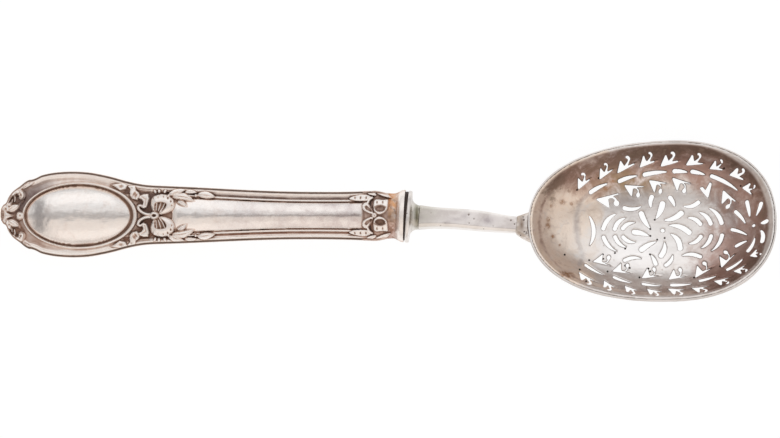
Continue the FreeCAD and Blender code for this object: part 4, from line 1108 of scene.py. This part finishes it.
def build_bowl():
    piece, co, normal = remeshed_copy("bowl", "bowl_sheet", 0.19, 2, BOWL,
                                      ((41, 14, 0.05), (42, 4, 0.02)))
    x, y, _ = co.T
    u, w, reach = bowl_frame(co)
    # 0 at the bowl's middle, 1 at its rim
    share = ((np.abs(u) / reach) ** BOWL_POWER + (np.abs(w) / BOWL_HALF) ** BOWL_POWER) ** (1 / BOWL_POWER)
    # the saw's rough walls stand a little into the openings
    # the same mask paints the cut walls dark, as painted shade
    cut = 1 - ease(0.3, 0.7, np.abs((normal @ BOWL_TURN)[:, 2]))
    cut = cut * (1 - ease(0.88, 0.91, share))
    set_points(piece.data, co + normal * (0.075 * cut)[:, None])

    wander = waves(u, w, 61, 13, 20)
    limit = 0.026 * ease(8, 20, u) + 0.014 * ease(21, 26, u)
    limit = 1 - np.maximum(limit, 0.035 * ease(5, 15, -w))
    inner = 1 - ease(limit - 0.02, limit + 0.012, share)
    left = 1 - ease(-22.5, -17, u + 1.5 * wander - 0.25 * w)
    wall = ease(0.84, 0.92, share) * inner
    low_wall = ease(0.68, 0.86, share + 0.03 * wander) * ease(3, 9, -w) * ease(-26, -10, u)
    # a painted highlight on the floor, towards the stem and the lower side
    bright = bell(u, -8, np.where(u < -8, 15, 11)) * bell(w, -5, 6)
    brown = np.maximum.reduce([
        ease(0, 19, u + 2.5 * wander - 0.25 * w),
        ease(0.45, 0.8, share + 0.04 * wander) * ease(-4, 6, w + 0.35 * u),
        # painted shade under the rolled rim: a brown crescent at the left
        0.5 * bell(share, 0.945, 0.014) * ease(14, 24, -u),
        0.42 * low_wall,
    ])
    dark = 0.95 * ease(0.8, 0.97, share + 0.03 * wander) * ease(2, 12, w)
    dark = np.maximum.reduce([
        dark * (1 - 0.45 * ease(8, 26, -u)),
        0.6 * ease(0.8, 0.95, share) * ease(5, 16, u),
        0.1 * wall * left,
    ])
    line = np.array([photo_place(px, py) for px, py in BOTTOM_LINE])
    d, _ = near_line(x, y, curve(line, 6))
    tan = np.maximum(0.85 * left, 0.6 * wall * (1 - ease(-8, -4, w)))
    add_values(
        piece, bright=bright, inner=inner, cut=0.85 * cut, dark=dark, tan=tan * (1 - 0.6 * bright),
        brown=brown * (1 - 0.7 * bright),
        # painted shade: a grey patch on the floor towards the stem and the upper side, and a grey line along
        # the bottom's edge
        grey=np.maximum(bell(u, -12, 6.5) * bell(w, 9, 5), 0.75 * bell(d, 0, 0.95)),
        olive=0.85 * bell(u, -12, 9.5) * bell(w, 13.2, 3.6) * inner,
        rusty=np.clip(sum(1.3 * spot(x, y, *place) for place in RUST_SPOTS), 0, 0.95),
        drill=unit(sum(spot(x, y, *place, 1.15, 1.15) for place in DRILLS)))

    piece, co, normal = remeshed_copy("rim_wire", "rim_drawn", 0.13, 2, RIM,
                                      ((51, 12, 0.05), (52, 3, 0.02)))
    u, w, reach = bowl_frame(co)
    away = np.stack([u / reach**2, w / BOWL_HALF**2], -1)
    facing = ((normal @ BOWL_TURN)[:, :2] * away).sum(1) / np.hypot(*away.T)
    # dark in the joint on the wire's inner side, and painted shade on the wire's outer side
    add_values(piece, joint=0.9 * ease(0.4, 0.75, -facing) + 0.5 * ease(0.75, 0.97, facing))


build_stem()
build_bowl()

for name, material in (("handle_filling", PITCH), ("tang", STEEL)):
    nodes[name].data.materials.clear()
    nodes[name].data.materials.append(material)

# Floor, camera and light

scene.view_settings.view_transform = "Standard"

CAMERA_HEIGHT = 2600
FOCUS_HEIGHT = 10
# the row of the photograph's middle
MIDDLE_ROW = 219
camera_data = bpy.data.cameras.new("camera")
camera_data.sensor_width = 36
camera_data.lens = camera_data.sensor_width * (CAMERA_HEIGHT - FOCUS_HEIGHT) / (WIDTH * PIXEL)
camera_data.clip_start = 0.1
camera_data.clip_end = 20
camera = add_object("camera", camera_data)
camera.location = Vector((*photo_place(WIDTH / 2, MIDDLE_ROW), CAMERA_HEIGHT)) * MM
camera.rotation_euler = (0, 0, math.atan(AXIS_SLOPE))
scene.camera = camera


def make_floor():
    """White paper that also glows for the rays that see it directly."""
    s = Shader("floor_white")
    path = s.node("LightPath").outputs
    seen = s.math("MAXIMUM", path["Is Camera Ray"], path["Is Glossy Ray"])
    seen = s.math("MAXIMUM", seen, path["Is Transmission Ray"])
    tint = s.mix(s.noise(s.place(), 30, 2), (0.9, 0.9, 0.9), (0.92, 0.92, 0.92))
    diffuse = s.node("BsdfDiffuse", Color=tint)
    glow = s.node("Emission", Color=(1, 1, 1), Strength=1.09)
    size = 30
    mesh = bpy.data.meshes.new("floor")
    corners = [(-size, -size, 0), (size, -size, 0), (size, size, 0), (-size, size, 0)]
    mesh.from_pydata(corners, [], [(0, 1, 2, 3)])
    mesh.materials.append(s.finish(s.node("MixShader", i0=s.times(seen, 0.84), i1=diffuse.outputs[0],
                                          i2=glow.outputs[0])))
    floor = add_object("floor", mesh)


def make_world():
    """A pale studio all round, with a darker strip overhead along the spoon and a shorter one across it."""
    s = Shader("studio", "worlds")
    x, y, z = s.node("SeparateXYZ", Vector=s.node("TexCoord").outputs["Generated"]).outputs
    across = s.math("ABSOLUTE", y)
    strip = s.rest(s.ramp(across, 0.06, 0.2))
    strip = s.times(strip, s.rest(s.ramp(s.math("ABSOLUTE", x), 0.8, 0.97)))
    arm = s.rest(s.ramp(s.math("ABSOLUTE", s.plus(x, 0.66)), 0.03, 0.16))
    arm = s.times(arm, s.rest(s.ramp(across, 0.45, 0.95)))
    dark = s.times(s.math("MAXIMUM", s.times(strip, 0.68), arm), s.ramp(z, 0, 0.3))
    upper = s.mix(s.ramp(z, 0, 0.38), (0.55, 0.55, 0.55), (1, 1, 1))
    side = s.mix(s.ramp(y, -0.35, 0.3), (1, 0.935, 0.885), (0.985, 0.99, 1))
    color = s.mix(dark, s.mix(1, upper, side, "MULTIPLY"), (0.27, 0.26, 0.265))
    scene.world = s.finish(s.node("Background", Color=color, Strength=0.86), "OutputWorld")


def make_lamp(name, place, power, color):
    data = bpy.data.lights.new(name, "AREA")
    data.shape = "RECTANGLE"
    data.size, data.size_y = 1.2, 0.6
    data.energy = power
    data.color = color
    lamp = add_object(name, data)
    lamp.location = place
    lamp.rotation_euler = (-Vector(place)).to_track_quat("-Z", "Y").to_euler()
    lamp.visible_camera = False


make_floor()
make_world()
make_lamp("key", (-0.15, 0.75, 0.75), 0.5, (1, 0.99, 0.98))
make_lamp("fill", (0.1, -0.85, 0.7), 0.35, (1, 0.96, 0.93))
